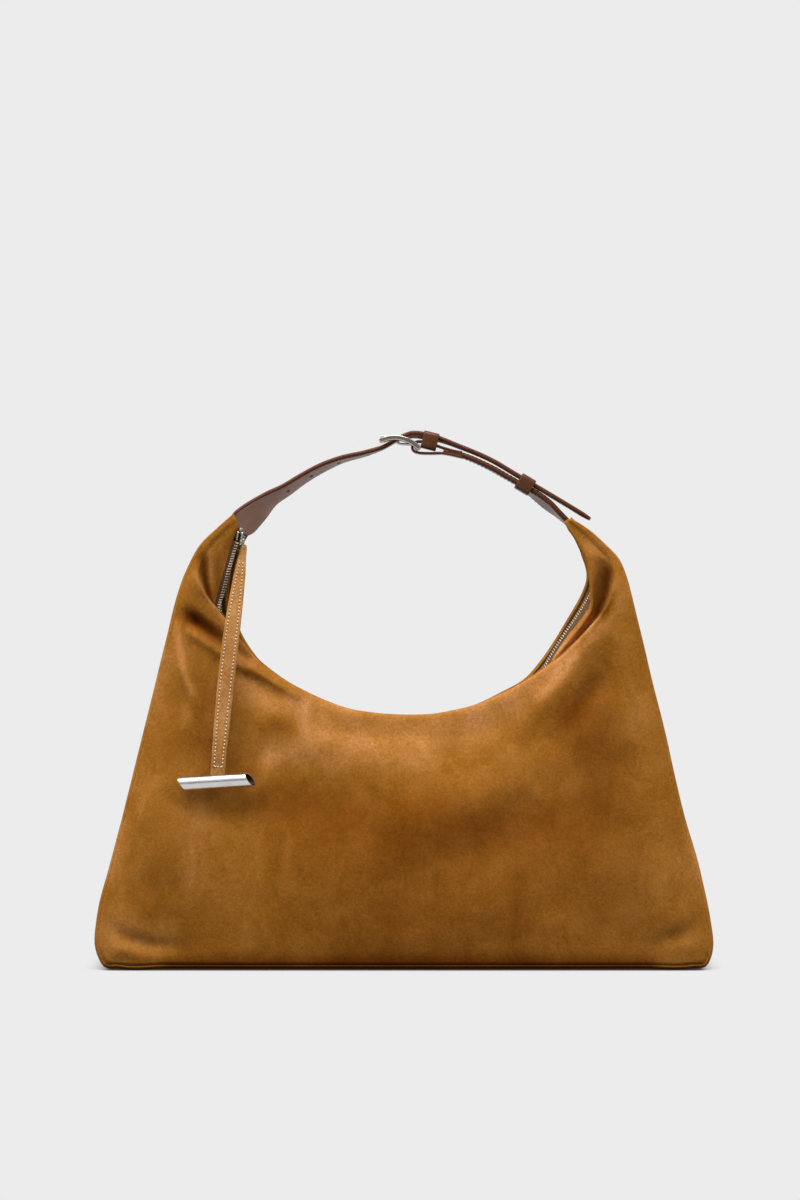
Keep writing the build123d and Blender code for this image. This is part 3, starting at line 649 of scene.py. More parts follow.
# Where the front is made light or dark, partly suede nap and mostly painted shade in valleys and low
# down, painted highlight along ridges and below the mouth: ((x, z) line, tone, half width)
FRONT_NAP_AND_PAINTED_SHADING = [
    ([(-66, 192), (-30, 184), (10, 186), (60, 196), (112, 226), (142, 262)], 0.75, 13.0),
    ([(-96, 168), (-66, 158), (-34, 160), (10, 168)], 0.5, 16.0),
    ([(-128, 246), (-124, 222), (-108, 206), (-80, 200)], 0.45, 14.0),
    ([(-188, 246), (-196, 205)], 0.22, 12.0),
    ([(-222, 108), (-228, 78)], 0.45, 11.0),
    ([(226, 108), (230, 80)], 0.4, 11.0),
    ([(-226, 30), (-190, 22)], 0.45, 13.0),
    ([(-160, 128), (-158, 70)], 0.3, 17.0),
    ([(168, 302), (168, 276), (158, 262)], 0.35, 6.0),
    ([(160, 308), (160.5, 292), (155, 277)], -1.0, 4.0),
    ([(150, 330), (160, 320)], 0.3, 7.0),
    ([(-100, 128), (-40, 118), (0, 106), (60, 112), (118, 114)], -0.62, 26.0),
    ([(136, 192), (150, 154), (156, 128)], -0.55, 25.0),
    ([(156, 226), (160, 180)], -0.3, 17.0),
    ([(-156, 214), (-156, 176), (-140, 160)], -0.5, 17.0),
    ([(-118, 190), (-100, 186)], -0.35, 12.0),
    ([(-60, 70), (30, 66), (100, 68), (170, 66)], -0.34, 32.0),
    ([(-180, 2), (-60, 4), (60, 4), (190, 2)], -1.0, 9.0),
    ([(-40, 28), (90, 30)], -0.35, 20.0),
    ([(-167, 272), (-157, 264), (-144, 253)], -1.1, 7.5),
    ([(-158, 320), (-157, 308), (-153, 292)], -0.75, 3.6),
    ([(-146, 318), (-146, 299)], -0.5, 3.6),
    ([(-152.4, 324), (-151.6, 306), (-151, 290)], 0.55, 1.8),
    ([(-162, 306), (-156, 291), (-142, 274), (-131, 258)], 0.55, 3.0),
    ([(-168, 262), (-142, 246), (-130, 238)], 0.5, 4.5),
    ([(-178, 268), (-173, 236), (-165, 214)], 0.55, 3.2),
    ([(-165, 210), (-168, 196)], 0.4, 7.0),
    ([(-140, 243), (-124, 232), (-108, 226)], -0.4, 4.5),
    ([(-92, 207), (-62, 204), (-40, 203)], 0.35, 5.0),
    ([(163, 298), (159.5, 285), (151, 272.5), (140.5, 261), (128, 251.6), (113, 239)], 0.5, 2.2),
    ([(134, 243), (117, 221), (105, 210)], 0.5, 3.8),
    ([(146, 226), (139, 208), (128, 192)], -0.35, 9.0),
    ([(172, 250), (176, 220), (178, 190)], 0.3, 9.0),
    ([(-106, 162), (-80, 172), (-54, 183)], 0.4, 7.0),
    ([(-100, 190), (-90, 186)], -0.45, 7.0),
]
# Where the back is made light or dark, given the same way: partly suede nap, partly painted shade low
# down and painted highlight below the rim
BACK_NAP_AND_PAINTED_SHADING = [
    ([(-66, 184), (0, 176), (80, 190)], 0.5, 18.0),
    ([(-150, 110), (-40, 96), (60, 104)], -0.5, 30.0),
    ([(100, 70), (180, 80)], -0.35, 30.0),
    ([(-180, 2), (0, 4), (190, 2)], -0.8, 10.0),
]


def paint_nap_and_shading(piece):
    """Writes the tone at each vertex, from -1 for dark to 1 for light: partly suede nap, partly painted
    shade and painted highlight.
    """
    points = np.array([v.co[:] for v in piece.data.vertices]) / MM
    x, y, z = points.T
    tones = []
    for areas in (FRONT_NAP_AND_PAINTED_SHADING, BACK_NAP_AND_PAINTED_SHADING):
        tone = np.zeros(len(x))
        for line, strength, width in areas:
            away, _ = line_distance(x, z, line)
            tone += strength * np.exp(-((away / width) ** 2))
        tones.append(tone)
    front_share = np.clip(0.5 - y / 30, 0, 1)
    tone = tones[0] * front_share + tones[1] * (1 - front_share)
    tone += 0.10 * noise_field(points, 48.0, 41) + 0.08 * noise_field(points, 16.0, 42)
    layer = piece.data.attributes.new("nap", "FLOAT", "POINT")
    layer.data.foreach_set("value", np.clip(tone, -1, 1))


# Soft lumps and puckers of a wall: (height, wavelength)
LUMPS = ((1.7, 85.0), (0.7, 34.0), (0.35, 11.0))
SEAM_GROOVE = 0.12


def relief(points, folds, side, seed):
    """How far each point of a wall moves outwards: folds, soft lumps and small puckers."""
    x, z = points[..., 0], points[..., 2]
    out = np.zeros(x.shape)
    for line, height, width in folds:
        away, share = line_distance(x, z, line)
        fade = np.sin(np.pi * np.clip(share, 0.06, 0.94)) ** 0.6
        out += height * fade * np.exp(-((away / width) ** 2))
    for index, (height, wavelength) in enumerate(LUMPS):
        out += height * noise_field(points, wavelength, seed + index)
    return out * side


def wall_rows(profiles, outer_count, inner_count, end_cut):
    """Lengths along each wall profile, closer over the rim and inside; and where the rim lies."""
    total = profile_lengths(profiles)
    outer_index = 14 * len(OUTER_SHARES)
    outer = np.linalg.norm(np.diff(profiles[:, : outer_index + 1], axis=1), axis=2).sum(axis=1)
    first = np.linspace(0, 1, outer_count, endpoint=False)
    second = np.linspace(0, 1, inner_count)
    lengths = np.concatenate(
        [
            outer[:, None] * (1 - (1 - first) ** 1.25)[None],
            outer[:, None] + (total - end_cut - outer)[:, None] * second[None],
        ],
        axis=1,
    )
    return lengths, outer


def wall_points(profiles, folds, side, seed, counts, end_cut):
    """Grid of a wall with its relief, which fades at the seam and past the rim."""
    lengths, outer = wall_rows(profiles, *counts, end_cut)
    points = at_lengths(profiles, lengths)
    out = relief(points, folds, side, seed)
    from_seam = np.clip(lengths / 22.0, 0, 1)
    from_rim = np.clip((outer[:, None] - lengths) / 9.0, 0, 1)
    points[..., 1] += out * from_seam * (0.12 + 0.88 * from_rim)
    groove = SEAM_GROOVE * np.exp(-((lengths / 2.0) ** 2))
    points[..., 1] -= side * groove
    return points


STATIONS = even_stations(330)
FRONT = front_profiles(STATIONS)
BACK = back_profiles(STATIONS)
TEETH_SHOW = 5.0

front_wall = sheet_object(
    "front_wall",
    wall_points(FRONT, FRONT_FOLDS, -1, 3, (86, 44), TEETH_SHOW),
    SUEDE, SUEDE_THICKNESS, (0, -1, 0),
)
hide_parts("front_panel")
back_wall = sheet_object(
    "back_wall",
    wall_points(BACK, BACK_FOLDS, 1, 11, (80, 26), TEETH_SHOW),
    SUEDE, SUEDE_THICKNESS, (0, 1, 0),
)
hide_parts("back_panel")


def ring_points(u, across, inset, seed):
    """Gusset or base: from the front seam round the outline to the back seam."""
    seam, outline = seam_line(u), OUTLINE(u)
    depth = half_depth(seam[:, 1])[:, None] - inset
    bend = np.linspace(-1, 1, across)
    bend = np.sign(bend) * (1 - (1 - np.abs(bend)) ** 1.5)
    y = depth * bend[None]
    radius = np.minimum(CORNER_RADIUS, depth * 0.7)
    from_seam = np.clip((depth - np.abs(y)) / radius, 0, 1)
    out = np.sqrt(1 - (1 - from_seam) ** 2)
    flat = seam[:, None] + (outline - seam)[:, None] * out[..., None]
    points = np.stack([flat[..., 0], y, flat[..., 1]], axis=-1)
    outward = unit(outline - seam)
    height = outline[:, 1]
    side_share = np.clip((height - 12) / 60, 0, 1) * np.clip((340 - height) / 80, 0, 1)
    dip = -(3.2 * np.cos(np.pi / 2 * bend)[None] ** 2) * side_share[:, None]
    dip = dip + noise_field(points, 60.0, seed) * 2.2 * side_share[:, None] * from_seam
    dip = dip - SEAM_GROOVE * np.exp(-(((depth - np.abs(y)) / 1.6) ** 2)) - inset
    points[..., 0] += outward[:, :1] * dip
    points[..., 2] += outward[:, 1:] * dip * np.where(outline[:, 1:] < 2, (dip < -0.5), 1)
    return points


LEFT_CORNER = 0.325
RIGHT_CORNER = 0.67
LINING_INSET = 2.6


def ring_piece(name, low, high, outward, seed, node, lining=False):
    """Gusset, base or their lining, between two values of u."""
    count = 140 if lining else len(STATIONS)
    u = np.interp(np.linspace(0, 1, count), np.linspace(0, 1, len(STATIONS)), STATIONS)
    u = np.unique(np.concatenate([[low], u[(u > low) & (u < high)], [high]]))
    points = ring_points(u, 34, LINING_INSET if lining else 0.0, seed)
    material, thickness = (LINING, 0) if lining else (SUEDE, SUEDE_THICKNESS)
    piece = sheet_object(name, points, material, thickness, outward)
    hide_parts(node)
    return piece


left_side = ring_piece("left_side", 0.0, LEFT_CORNER, (-1, 0, 0), 21, "left_gusset")
right_side = ring_piece("right_side", RIGHT_CORNER, 1.0, (1, 0, 0), 23, "right_gusset")
base = ring_piece("base", LEFT_CORNER, RIGHT_CORNER, (0, 0, -1), 25, "base_panel")
left_lining = ring_piece(
    "left_lining", 0.03, LEFT_CORNER, (-1, 0, 0), 31, "left_side_lining", lining=True
)
right_lining = ring_piece(
    "right_lining", RIGHT_CORNER, 0.97, (1, 0, 0), 33, "right_side_lining", lining=True
)


def wall_lining(name, profiles, folds, side, seed, node):
    """Lining sheet just inside a wall, from its seam to under the zip band."""
    inner = profiles[::2][6:-6]
    points = wall_points(inner, folds, side, seed, (56, 26), 9.0)
    keep = points[:, 2:]
    keep[..., 1] -= side * 2.8
    piece = sheet_object(name, keep, LINING, 0, (0, side, 0))
    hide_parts(node)
    return piece


front_lining = wall_lining("front_inner_lining", FRONT, FRONT_FOLDS, -1, 3, "front_lining")
back_lining = wall_lining("back_inner_lining", BACK, BACK_FOLDS, 1, 11, "back_lining")

# --- Zip: tape, facing and teeth along the front and back zip lines --------------------------------

TOOTH_PITCH = 2.1
TOOTH_SIZE = (0.95, 3.2, 1.6)
TOOTH_SINK = 0.9
ZIP_FIRST = 0.03
ZIP_LAST = 0.955


def zip_strip(name, profiles, side, start, end, lift, material, thickness, node):
    """Strip that follows the end of a wall's profile: start and end count back from its zip line."""
    keep = (STATIONS > ZIP_FIRST) & (STATIONS < ZIP_LAST)
    chosen = profiles[keep]
    total = profile_lengths(chosen)[:, None]
    lengths = total - np.linspace(start, end, 7)[None]
    points = at_lengths(chosen, lengths)
    points[..., 1] -= side * lift
    piece = sheet_object(name, points, material, thickness, (0, side, 0))
    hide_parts(node)
    return piece


def teeth(name, profiles, side, node):
    """Row of small rounded teeth along a wall's zip line."""
    keep = (STATIONS > ZIP_FIRST) & (STATIONS < ZIP_LAST)
    chosen = profiles[keep]
    edge, inner = chosen[:, -1], chosen[:, -4]
    run = np.concatenate([[0], np.cumsum(np.linalg.norm(np.diff(edge, axis=0), axis=1))])
    count = int(run[-1] / TOOTH_PITCH)
    where = (np.arange(count) + 0.5) * TOOTH_PITCH
    seat = np.column_stack([np.interp(where, run, edge[:, k]) for k in range(3)])
    back = np.column_stack([np.interp(where, run, inner[:, k]) for k in range(3)])
    reach = unit(seat - back)
    along = unit(np.gradient(seat, axis=0))
    lift = unit(np.cross(along, reach))
    bulk = bmesh.new()
    bmesh.ops.create_cube(bulk, size=1.0)
    bmesh.ops.bevel(bulk, geom=bulk.edges[:], offset=0.2, segments=2, profile=0.6, affect="EDGES")
    shape = np.array([v.co[:] for v in bulk.verts])
    faces = [[v.index for v in face.verts] for face in bulk.faces]
    bulk.free()
    all_points, all_faces = [], []
    for i in range(count):
        points = (
            seat[i]
            + (shape[:, :1] * TOOTH_SIZE[0]) * along[i]
            + (shape[:, 1:2] * TOOTH_SIZE[1] - TOOTH_SINK) * reach[i]
            + (shape[:, 2:] * TOOTH_SIZE[2]) * lift[i]
        )
        points[:, 1] -= side * TOOTH_SINK
        offset = len(all_points) * len(shape)
        all_points.append(points)
        all_faces += [[offset + k for k in face] for face in faces]
    piece = mesh_object(name, np.concatenate(all_points), all_faces, TOOTH_METAL, "bag")
    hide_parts(node)
    return piece


for end, profiles, side in (("front", FRONT, -1), ("back", BACK, 1)):
    tape = zip_strip(end + "_tape", profiles, side, 11.0, 0.6, 0.9, TAPE, 0.5, end + "_zip_tape")
    facing = zip_strip(
        end + "_facing", profiles, side, 17.0, 5.2, 1.9, SUEDE, 0.7, end + "_zip_facing"
    )
    row = teeth(end + "_teeth", profiles, side, end + "_zip_teeth")

# --- Straps ---------------------------------------------------------------------------------------


def strap_frames(line, length, count, twist):
    """Centre points, run, width and normal directions along a strap that twists by degrees."""
    s = np.linspace(0, length, count)
    centre = line(s)
    run = unit(np.gradient(centre, axis=0))
    front = np.tile([0.0, -1.0, 0.0], (count, 1))
    front = unit(front - run * (front * run).sum(axis=1, keepdims=True))
    normal = np.cross(front, run)
    normal = np.where(normal[:, 2:] < 0, -normal, normal)
    angle = np.radians(twist(s))[:, None]
    across = front * np.cos(angle) + normal * np.sin(angle)
    up = normal * np.cos(angle) - front * np.sin(angle)
    return s, centre, run, across, up


def frame_at(frames, place):
    """Centre, run, width and normal directions of a strap at a length along it."""
    s = frames[0]
    return [np.array([np.interp(place, s, a[:, k]) for k in range(3)]) for a in frames[1:]]


def strap_ring(edge_points=5, flat_points=7):
    """Outline of a strap's section: half width 1 and half thickness 1, with round edges."""
    ring = []
    for side in (1, -1):
        for k in range(edge_points):
            angle = math.pi / 2 * (1 - 2 * k / (edge_points - 1))
            ring.append((side, math.cos(angle), side * math.sin(angle)))
        for k in range(1, flat_points):
            ring.append((side * (1 - 2 * k / flat_points), 0.0, -side))
    return ring


def strap_mesh(name, frames, half_width, half_thickness, crown=0.25):
    """Closed strap with rounded edges; its edges and underside have materials of their own."""
    s, centre, run, across, up = frames
    ring = strap_ring()
    points = []
    for i in range(len(s)):
        w, t = half_width[i], half_thickness[i]
        for x, bulge, z in ring:
            flat = x * max(w - t * 0.8, 0.01) + np.sign(x) * bulge * t * 0.8
            rise = z * (t + crown * (1 - x * x) * min(1.0, w / 6))
            points.append(centre[i] + across[i] * flat + up[i] * rise)
    columns = len(ring)
    faces = grid_faces(len(s), columns, closed=True)
    faces.append(tuple(range(columns))[::-1])
    faces.append(tuple((len(s) - 1) * columns + k for k in range(columns)))
    piece = mesh_object(name, points, faces, LEATHER)
    piece.data.materials.append(EDGE)
    # The underside's lighter colour is a painted reflection.
    piece.data.materials.append(UNDERSIDE_WITH_PAINTED_SHINE)
    edge_faces, side_faces = 4, columns // 2
    for index in range((len(s) - 1) * columns):
        column = index % columns
        if column % side_faces < edge_faces:
            piece.data.polygons[index].material_index = 1
        elif column < side_faces:
            piece.data.polygons[index].material_index = 2
    turn_outwards(piece)
    return piece


def cut(piece, cutters):
    """Takes the cutters' shapes out of a piece."""
    for cutter in cutters:
        modifier = piece.modifiers.new("cut", "BOOLEAN")
        modifier.operation = "DIFFERENCE"
        modifier.solver = "EXACT"
        modifier.object = cutter
        bpy.context.view_layer.update()
        graph = bpy.context.evaluated_depsgraph_get()
        result = bpy.data.meshes.new_from_object(piece.evaluated_get(graph))
        piece.modifiers.clear()
        piece.data = result
        bpy.data.objects.remove(cutter)


def hole_cutter(centre, up, radius, length, across, stretch):
    """Round or oblong cutter through a strap at a point."""
    bpy.ops.mesh.primitive_cylinder_add(vertices=32, radius=radius * MM, depth=length * MM)
    cutter = bpy.context.object
    z_axis = Vector(up).normalized()
    x_axis = Vector(across).normalized()
    y_axis = z_axis.cross(x_axis)
    turn = Matrix((x_axis, y_axis, z_axis)).transposed().to_4x4()
    scale = Matrix.Diagonal((1, stretch, 1, 1))
    cutter.data.transform(Matrix.Translation(Vector(centre) * MM) @ turn @ scale)
    return cutter


def lying_capsule(length, radius):
    """Points and faces of a stitch: a short rounded thread along X."""
    rings, sides = 7, 8
    points, faces = [], grid_faces(rings, sides, closed=True)
    for i in range(rings):
        share = -1 + 2 * i / (rings - 1)
        size = radius * max(0.25, math.sqrt(max(0.0, 1 - share**4)))
        for k in range(sides):
            angle = 2 * math.pi * k / sides
            points.append((share * length / 2, size * math.cos(angle), size * math.sin(angle)))
    faces.append(tuple(range(sides))[::-1])
    faces.append(tuple((rings - 1) * sides + k for k in range(sides)))
    return np.array(points), faces


def stitches(name, seats, runs, ups, length, radius, material, body):
    """Row of stitches at seats (n, 3), each along its run and a little sunk."""
    shape, faces = lying_capsule(length, radius)
    all_points, all_faces = [], []
    for i, (seat, run, up) in enumerate(zip(seats, runs, ups)):
        side = np.cross(up, run)
        sunk = shape[:, 2:] - 0.5 * radius * (2 * np.abs(shape[:, :1]) / length) ** 2
        all_points.append(seat + shape[:, :1] * run + shape[:, 1:2] * side + sunk * up)
        all_faces += [[i * len(shape) + k for k in face] for face in faces]
    return mesh_object(name, np.concatenate(all_points), all_faces, material, body)


# Centre line of the holed strap, from inside the left horn to its free tip (x, z)
HOLED_ROUTE = [
    (-131, 342), (-125.5, 347.6), (-116, 356.2), (-104.5, 366), (-93.3, 372.5), (-79.7, 381.6),
    (-65.1, 389.9), (-50.5, 396.2), (-28, 402.2), (-16, 406.4), (-6, 412), (6, 416.2), (20, 414.6),
    (46, 406), (70, 395.6), (86, 386.2), (100, 377.9), (113, 370.2), (129, 360.6), (147, 349.6),
]
# Centre line of the doubled strap, from behind the buckle into the right horn (x, z)
DOUBLED_ROUTE = [
    (31, 402.9), (44, 400.4), (66, 391.4), (80, 383.7), (94, 375.4), (107, 366.2), (117.5, 357.6),
    (126.5, 349.6), (133, 343.5),
]
STRAP_HALF = 9.0
STRAP_THICKNESS = 3.4


def flat_route(route):
    return path_curve([(x, 0.0, z) for x, z in route])


def strap_by_x(line, length, count, twist, half_width):
    """Frames of a strap whose twist and half width depend on X; also its X and half width."""
    x_at = line(np.linspace(0, length, count))[:, 0]
    frames = strap_frames(line, length, count, lambda _: twist(x_at)[:, 0])
    return frames, x_at, half_width(x_at)[:, 0]


holed_line, holed_length = flat_route(HOLED_ROUTE)
HOLED_TWIST = smooth_curve([
    (-132, 52), (-125, 48), (-115, 43), (-105, 33), (-93, 27), (-80, 21), (-65, 17.5), (-50, 11),
    (-28, 5), (-10, 0), (-2, 3), (8, 9), (20, 8), (40, 1), (50, 0), (145, 0),
])
HOLED_HALF_WIDTH = smooth_curve([
    (-132, 13.6), (-125, 13.8), (-115, 12.4), (-107, 10.6), (-98, 9.3), (-88, 9), (128, 9),
    (145, 9),
])
HOLES_AT_X = (-92.5, -73.5, -51.5, -28.0)
HOLE_RADIUS = 1.5
PRONG_HOLE_X = -7.9
PRONG_HOLE_RADIUS = 1.8
PRONG_HOLE_STRETCH = 3.7
TIP_ROUND = 13.0
ROOT_ROUND = 10.0


def holed_strap():
    """Strap with its punched holes, the long prong hole, a rounded tip and a narrowed root."""
    frames, x_at, width = strap_by_x(
        holed_line, holed_length, 260, HOLED_TWIST, HOLED_HALF_WIDTH
    )
    s = frames[0]
    tip = np.clip((holed_length - s) / TIP_ROUND, 0, 1)
    root = np.clip(s / ROOT_ROUND, 0, 1)
    tip_share = np.sqrt(1 - (1 - tip) ** 2.2)
    width = width * tip_share * (0.55 + 0.45 * np.sqrt(1 - (1 - root) ** 2)) + 0.4
    thick = np.full(len(s), STRAP_THICKNESS / 2) * (0.72 + 0.28 * np.clip(tip * 2, 0, 1))
    piece = strap_mesh("holed_strap_leather", frames, width, thick)
    cutters = []
    for x in (*HOLES_AT_X, PRONG_HOLE_X):
        i = int(np.argmin(np.abs(x_at - x)))
        radius, stretch = HOLE_RADIUS, 1.0
        if x == PRONG_HOLE_X:
            radius, stretch = PRONG_HOLE_RADIUS, PRONG_HOLE_STRETCH
        centre, across, up = frames[1][i], frames[3][i], frames[4][i]
        cutters.append(hole_cutter(centre, up, radius, 10.0, across, stretch))
    cut(piece, cutters)
    return piece


holed = holed_strap()
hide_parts("holed_strap")

doubled_line, doubled_length = flat_route(DOUBLED_ROUTE)
DOUBLED_TWIST = smooth_curve([(28, 0), (70, 1), (95, 4), (105, 14), (114, 17), (121, 10), (133, 4)])
DOUBLED_HALF_WIDTH = smooth_curve([(28, 9.0), (96, 9.0), (108, 9.2), (118, 9.0), (126, 7.5), (134, 6.0)])
PLY = 1.9
HEEL = (10.8, 406.4)
LOOP_RADIUS = 4.2


def loop_route():
    """Centre line of the ply that folds round the buckle's bar and back (x, z)."""
    x, z = HEEL
    turns = [
        (x + LOOP_RADIUS * math.cos(a), z + LOOP_RADIUS * math.sin(a))
        for a in np.radians((95, 130, 165, 200, 235, 265))
    ]
    upper = [(46, 401.9), (38, 403.6), (30, 406.0), (20, 409.2)]
    return [*upper, *turns, (20, 401.4), (30, 401.5), (46, 398.4)]


doubled_frames, doubled_x, doubled_width = strap_by_x(
    doubled_line, doubled_length, 170, DOUBLED_TWIST, DOUBLED_HALF_WIDTH
)
DOUBLED_HALF_THICKNESS = 2.05
doubled = strap_mesh(
    "doubled_strap_leather", doubled_frames, doubled_width,
    np.full(len(doubled_x), DOUBLED_HALF_THICKNESS), crown=0.1,
)
doubled.data.materials[2] = LEATHER
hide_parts("doubled_strap")

loop_line, loop_length = flat_route(loop_route())


def buckle_loop():
    """Single ply round the buckle's bar, with a gap in its middle for the prong."""
    frames = strap_frames(loop_line, loop_length, 150, lambda s: 0 * s)
    s, centre, run, across, _ = frames
    frames = (s, centre, run, across, np.cross(across, run))
    width, thick = np.full(len(s), STRAP_HALF), np.full(len(s), PLY / 2)
    piece = strap_mesh("buckle_loop_leather", frames, width, thick, crown=0.0)
    cutter = hole_cutter((HEEL[0] - 1.5, 0, HEEL[1] + 2.0), (1, 0, 0), 2.3, 12.0, (0, 1, 0), 2.2)
    cut(piece, [cutter])
    return piece


loop = buckle_loop()
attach(loop, "handle")


STRAP_STITCH_PITCH = 3.4
STRAP_STITCH_LENGTH = 2.4
STRAP_STITCH_RADIUS = 0.3
STRAP_STITCH_INSET = 2.0


def strap_stitch_rows(name, frames, width, half_thickness, low, high, side, body):
    """Two rows of stitches near the edges of one face of a strap, between two lengths."""
    where = np.arange(low, high, STRAP_STITCH_PITCH)
    seats, runs, ups = [], [], []
    for edge in (-1, 1):
        for place in where:
            centre, run, across, up = frame_at(frames, place)
            half = np.interp(place, frames[0], width) - STRAP_STITCH_INSET
            seats.append(centre + across * half * edge + up * (half_thickness - 0.06) * side)
            runs.append(unit(run))
            ups.append(unit(up) * side)
    return stitches(
        name, seats, runs, ups, STRAP_STITCH_LENGTH, STRAP_STITCH_RADIUS, BROWN_THREAD, body
    )


for name, side in (("under_stitches", -1), ("over_stitches", 1)):
    row = strap_stitch_rows(
        name, doubled_frames, doubled_width, DOUBLED_HALF_THICKNESS, 6, 92, side, "handle"
    )


# --- Keepers --------------------------------------------------------------------------------------


def keeper(name, centre, lean, inner_half_width, inner_half_height, node, body):
    """Leather band bent round the strap: a rounded loop with rounded edges."""
    length, wall = 12.4, 1.6
    run = np.array([math.cos(lean), 0, math.sin(lean)])
    up = np.array([-math.sin(lean), 0, math.cos(lean)])
    front = np.array([0.0, -1.0, 0.0])
    corner = 2.4
    w, h = inner_half_width + wall / 2, inner_half_height + wall / 2
    path = []
    for sx, sy, start in ((1, 1, 0), (-1, 1, 90), (-1, -1, 180), (1, -1, 270)):
        for k in range(7):
            angle = math.radians(start + 15 * k)
            path.append((
                sx * (w - corner) + corner * math.cos(angle),
                sy * (h - corner) + corner * math.sin(angle),
                math.cos(angle), math.sin(angle),
            ))
    section = []
    round_ends = ((1, (90, 60, 30, 0, -30, -60, -90)), (-1, (-90, -120, -150, 180, 150, 120, 90)))
    for sx, angles in round_ends:
        for angle in angles:
            a = math.radians(angle)
            along = sx * (length / 2 - wall / 2) + wall / 2 * math.cos(a)
            section.append((along, wall / 2 * math.sin(a)))
    rows, columns = len(path), len(section)
    points = []
    for a, b, na, nb in path:
        for along, out in section:
            swell = 1.0 + 0.12 * (1 - (2 * along / length) ** 2)
            points.append(
                np.array([centre[0], 0, centre[1]])
                + front * (a + na * (out * swell)) + up * (b + nb * (out * swell)) + run * along
            )
    faces = grid_faces(rows, columns, closed=True, looped=True)
    piece = mesh_object(name, points, faces, KEEPER_LEATHER)
    piece.data.materials.append(EDGE)
    for index, polygon in enumerate(piece.data.polygons):
        j = index % columns
        if 1 <= j <= 4 or 8 <= j <= 11:
            polygon.material_index = 1
    turn_outwards(piece)
    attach(piece, body)
    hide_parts(node)
    return piece


keeper("near_keeper", (20.6, 411.3), math.radians(-14), 9.8, 5.2, "fixed_keeper", "handle")
keeper("far_keeper", (95.6, 377.0), math.radians(-31), 9.8, 5.0, "sliding_keeper", "loose_keeper")

for piece in (holed, doubled):
    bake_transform(piece)

# --- Zip pull -------------------------------------------------------------------------------------

pull_top = np.array(JOINTS["strap_lift"]["pos_m"]) / MM
bar_centre = np.array(JOINTS["bar_rock"]["pos_m"]) / MM
PULL_HALF = smooth_curve([(0, 2.2), (3, 2.7), (7, 2.9), (14, 3.4), (26, 4.6), (38, 5.25), (220, 5.25)])
PULL_SWAY = 1.6
PULL_BOW = 7.5
PULL_HEAD = 5.6
PULL_STITCH_PITCH = 2.9
PULL_STITCH_LENGTH = 1.5
PULL_STITCH_RADIUS = 0.5
PULL_STITCH_INSET = 2.5
PULL_ROW_START = 16
PULL_ROW_END = 11
CROSS_ROW_AT = 10.5


def pull_strap():
    """Two-ply suede strip from the ring to the bar, slightly bowed, with two stitched rows."""
    length = float(np.linalg.norm(bar_centre - pull_top))
    run = (bar_centre - pull_top) / length
    side = unit(np.cross(run, [0.0, -1.0, 0.0]))
    outwards = unit(np.cross(side, run))
    outwards = -outwards if outwards[1] > 0 else outwards
    points = []
    for k in np.linspace(0, 1, 12):
        sway = PULL_SWAY * math.sin(math.pi * k)
        bow = PULL_BOW * math.sin(math.pi * k**0.75)
        points.append(pull_top + run * length * k + side * sway + outwards * bow)
    points[0] = pull_top - run * PULL_HEAD + np.array([0, -1.4, 0])
    points[-1] = bar_centre - run * 1.0
    line, total = path_curve(points)
    frames = strap_frames(line, total, 150, lambda s: 90.0 + 3.0 * np.sin(s / total * 4.0))
    width = PULL_HALF(frames[0])[:, 0]
    thick = 1.15 + 0.5 * np.exp(-((frames[0] - 3) / 4) ** 2)
    piece = strap_mesh("pull_suede_strip", frames, width, thick, crown=0.2)
    for index in range(3):
        piece.data.materials[index] = PULL_SUEDE
    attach(piece, "pull")
    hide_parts("pull_strap")
    seats, ways, outs = [], [], []
    for face in (-1, 1):
        for edge in (-1, 1):
            for place in np.arange(PULL_ROW_START, total - PULL_ROW_END, PULL_STITCH_PITCH):
                centre, way, across, up = frame_at(frames, place)
                half = max(np.interp(place, frames[0], width) - PULL_STITCH_INSET, 1.2)
                rise = np.interp(place, frames[0], thick) + 0.12
                seats.append(centre + across * half * edge + up * rise * face)
                ways.append(unit(way))
                outs.append(unit(up) * face)
        centre, _, across, up = frame_at(frames, total - CROSS_ROW_AT)
        for place in np.linspace(-2.1, 2.1, 3):
            seats.append(centre + across * place + up * 1.35 * face)
            ways.append(unit(across))
            outs.append(unit(up) * face)
    size = (PULL_STITCH_LENGTH, PULL_STITCH_RADIUS)
    rows = stitches("pull_stitches", seats, ways, outs, *size, CREAM_THREAD, "pull")
    # Painted shade in the needle holes: small dark capsules sunk at one end of each stitch.
    holes = [seat + way * 1.45 - out * 0.22 for seat, way, out in zip(seats, ways, outs)]
    needle_hole_shadows = stitches("pull_needle_hole_shadows", holes, ways, outs, 1.0, 0.5, BROWN_THREAD, "pull")


pull_strap()

# --- Finishes of the frame's own pieces --------------------------------------------------------------

FINISHES = {
    "slider_body": NICKEL,
    "puller_link": NICKEL,
    "pull_ring": NICKEL,
    "zip_stop": NICKEL,
    "t_bar_tube": BAR_METAL,
    "t_bar_pin": POLISHED,
    "buckle_frame": BUCKLE_METAL,
    "buckle_prong": BUCKLE_METAL,
    "base_board": BOARD,
    "base_lining": LINING,
}
for node, finish in FINISHES.items():
    NODES[node].data.materials.clear()
    NODES[node].data.materials.append(finish)

# Paints the vertex tone, partly suede nap and partly painted shade and highlight, onto the walls, sides
# and base.
for piece in (front_wall, back_wall, left_side, right_side, base):
    paint_nap_and_shading(piece)

# --- Stage: floor, light and camera ------------------------------------------------------------------

PAPER = 0.8388
CONTACT_REACH = 0.03


def add_nodes(tree, kinds):
    """Empties a node tree and adds nodes of those kinds to it."""
    tree.nodes.clear()
    return [tree.nodes.new("ShaderNode" + kind) for kind in kinds.split()]


def link_all(tree, *links):
    for start, end in links:
        tree.links.new(start, end)


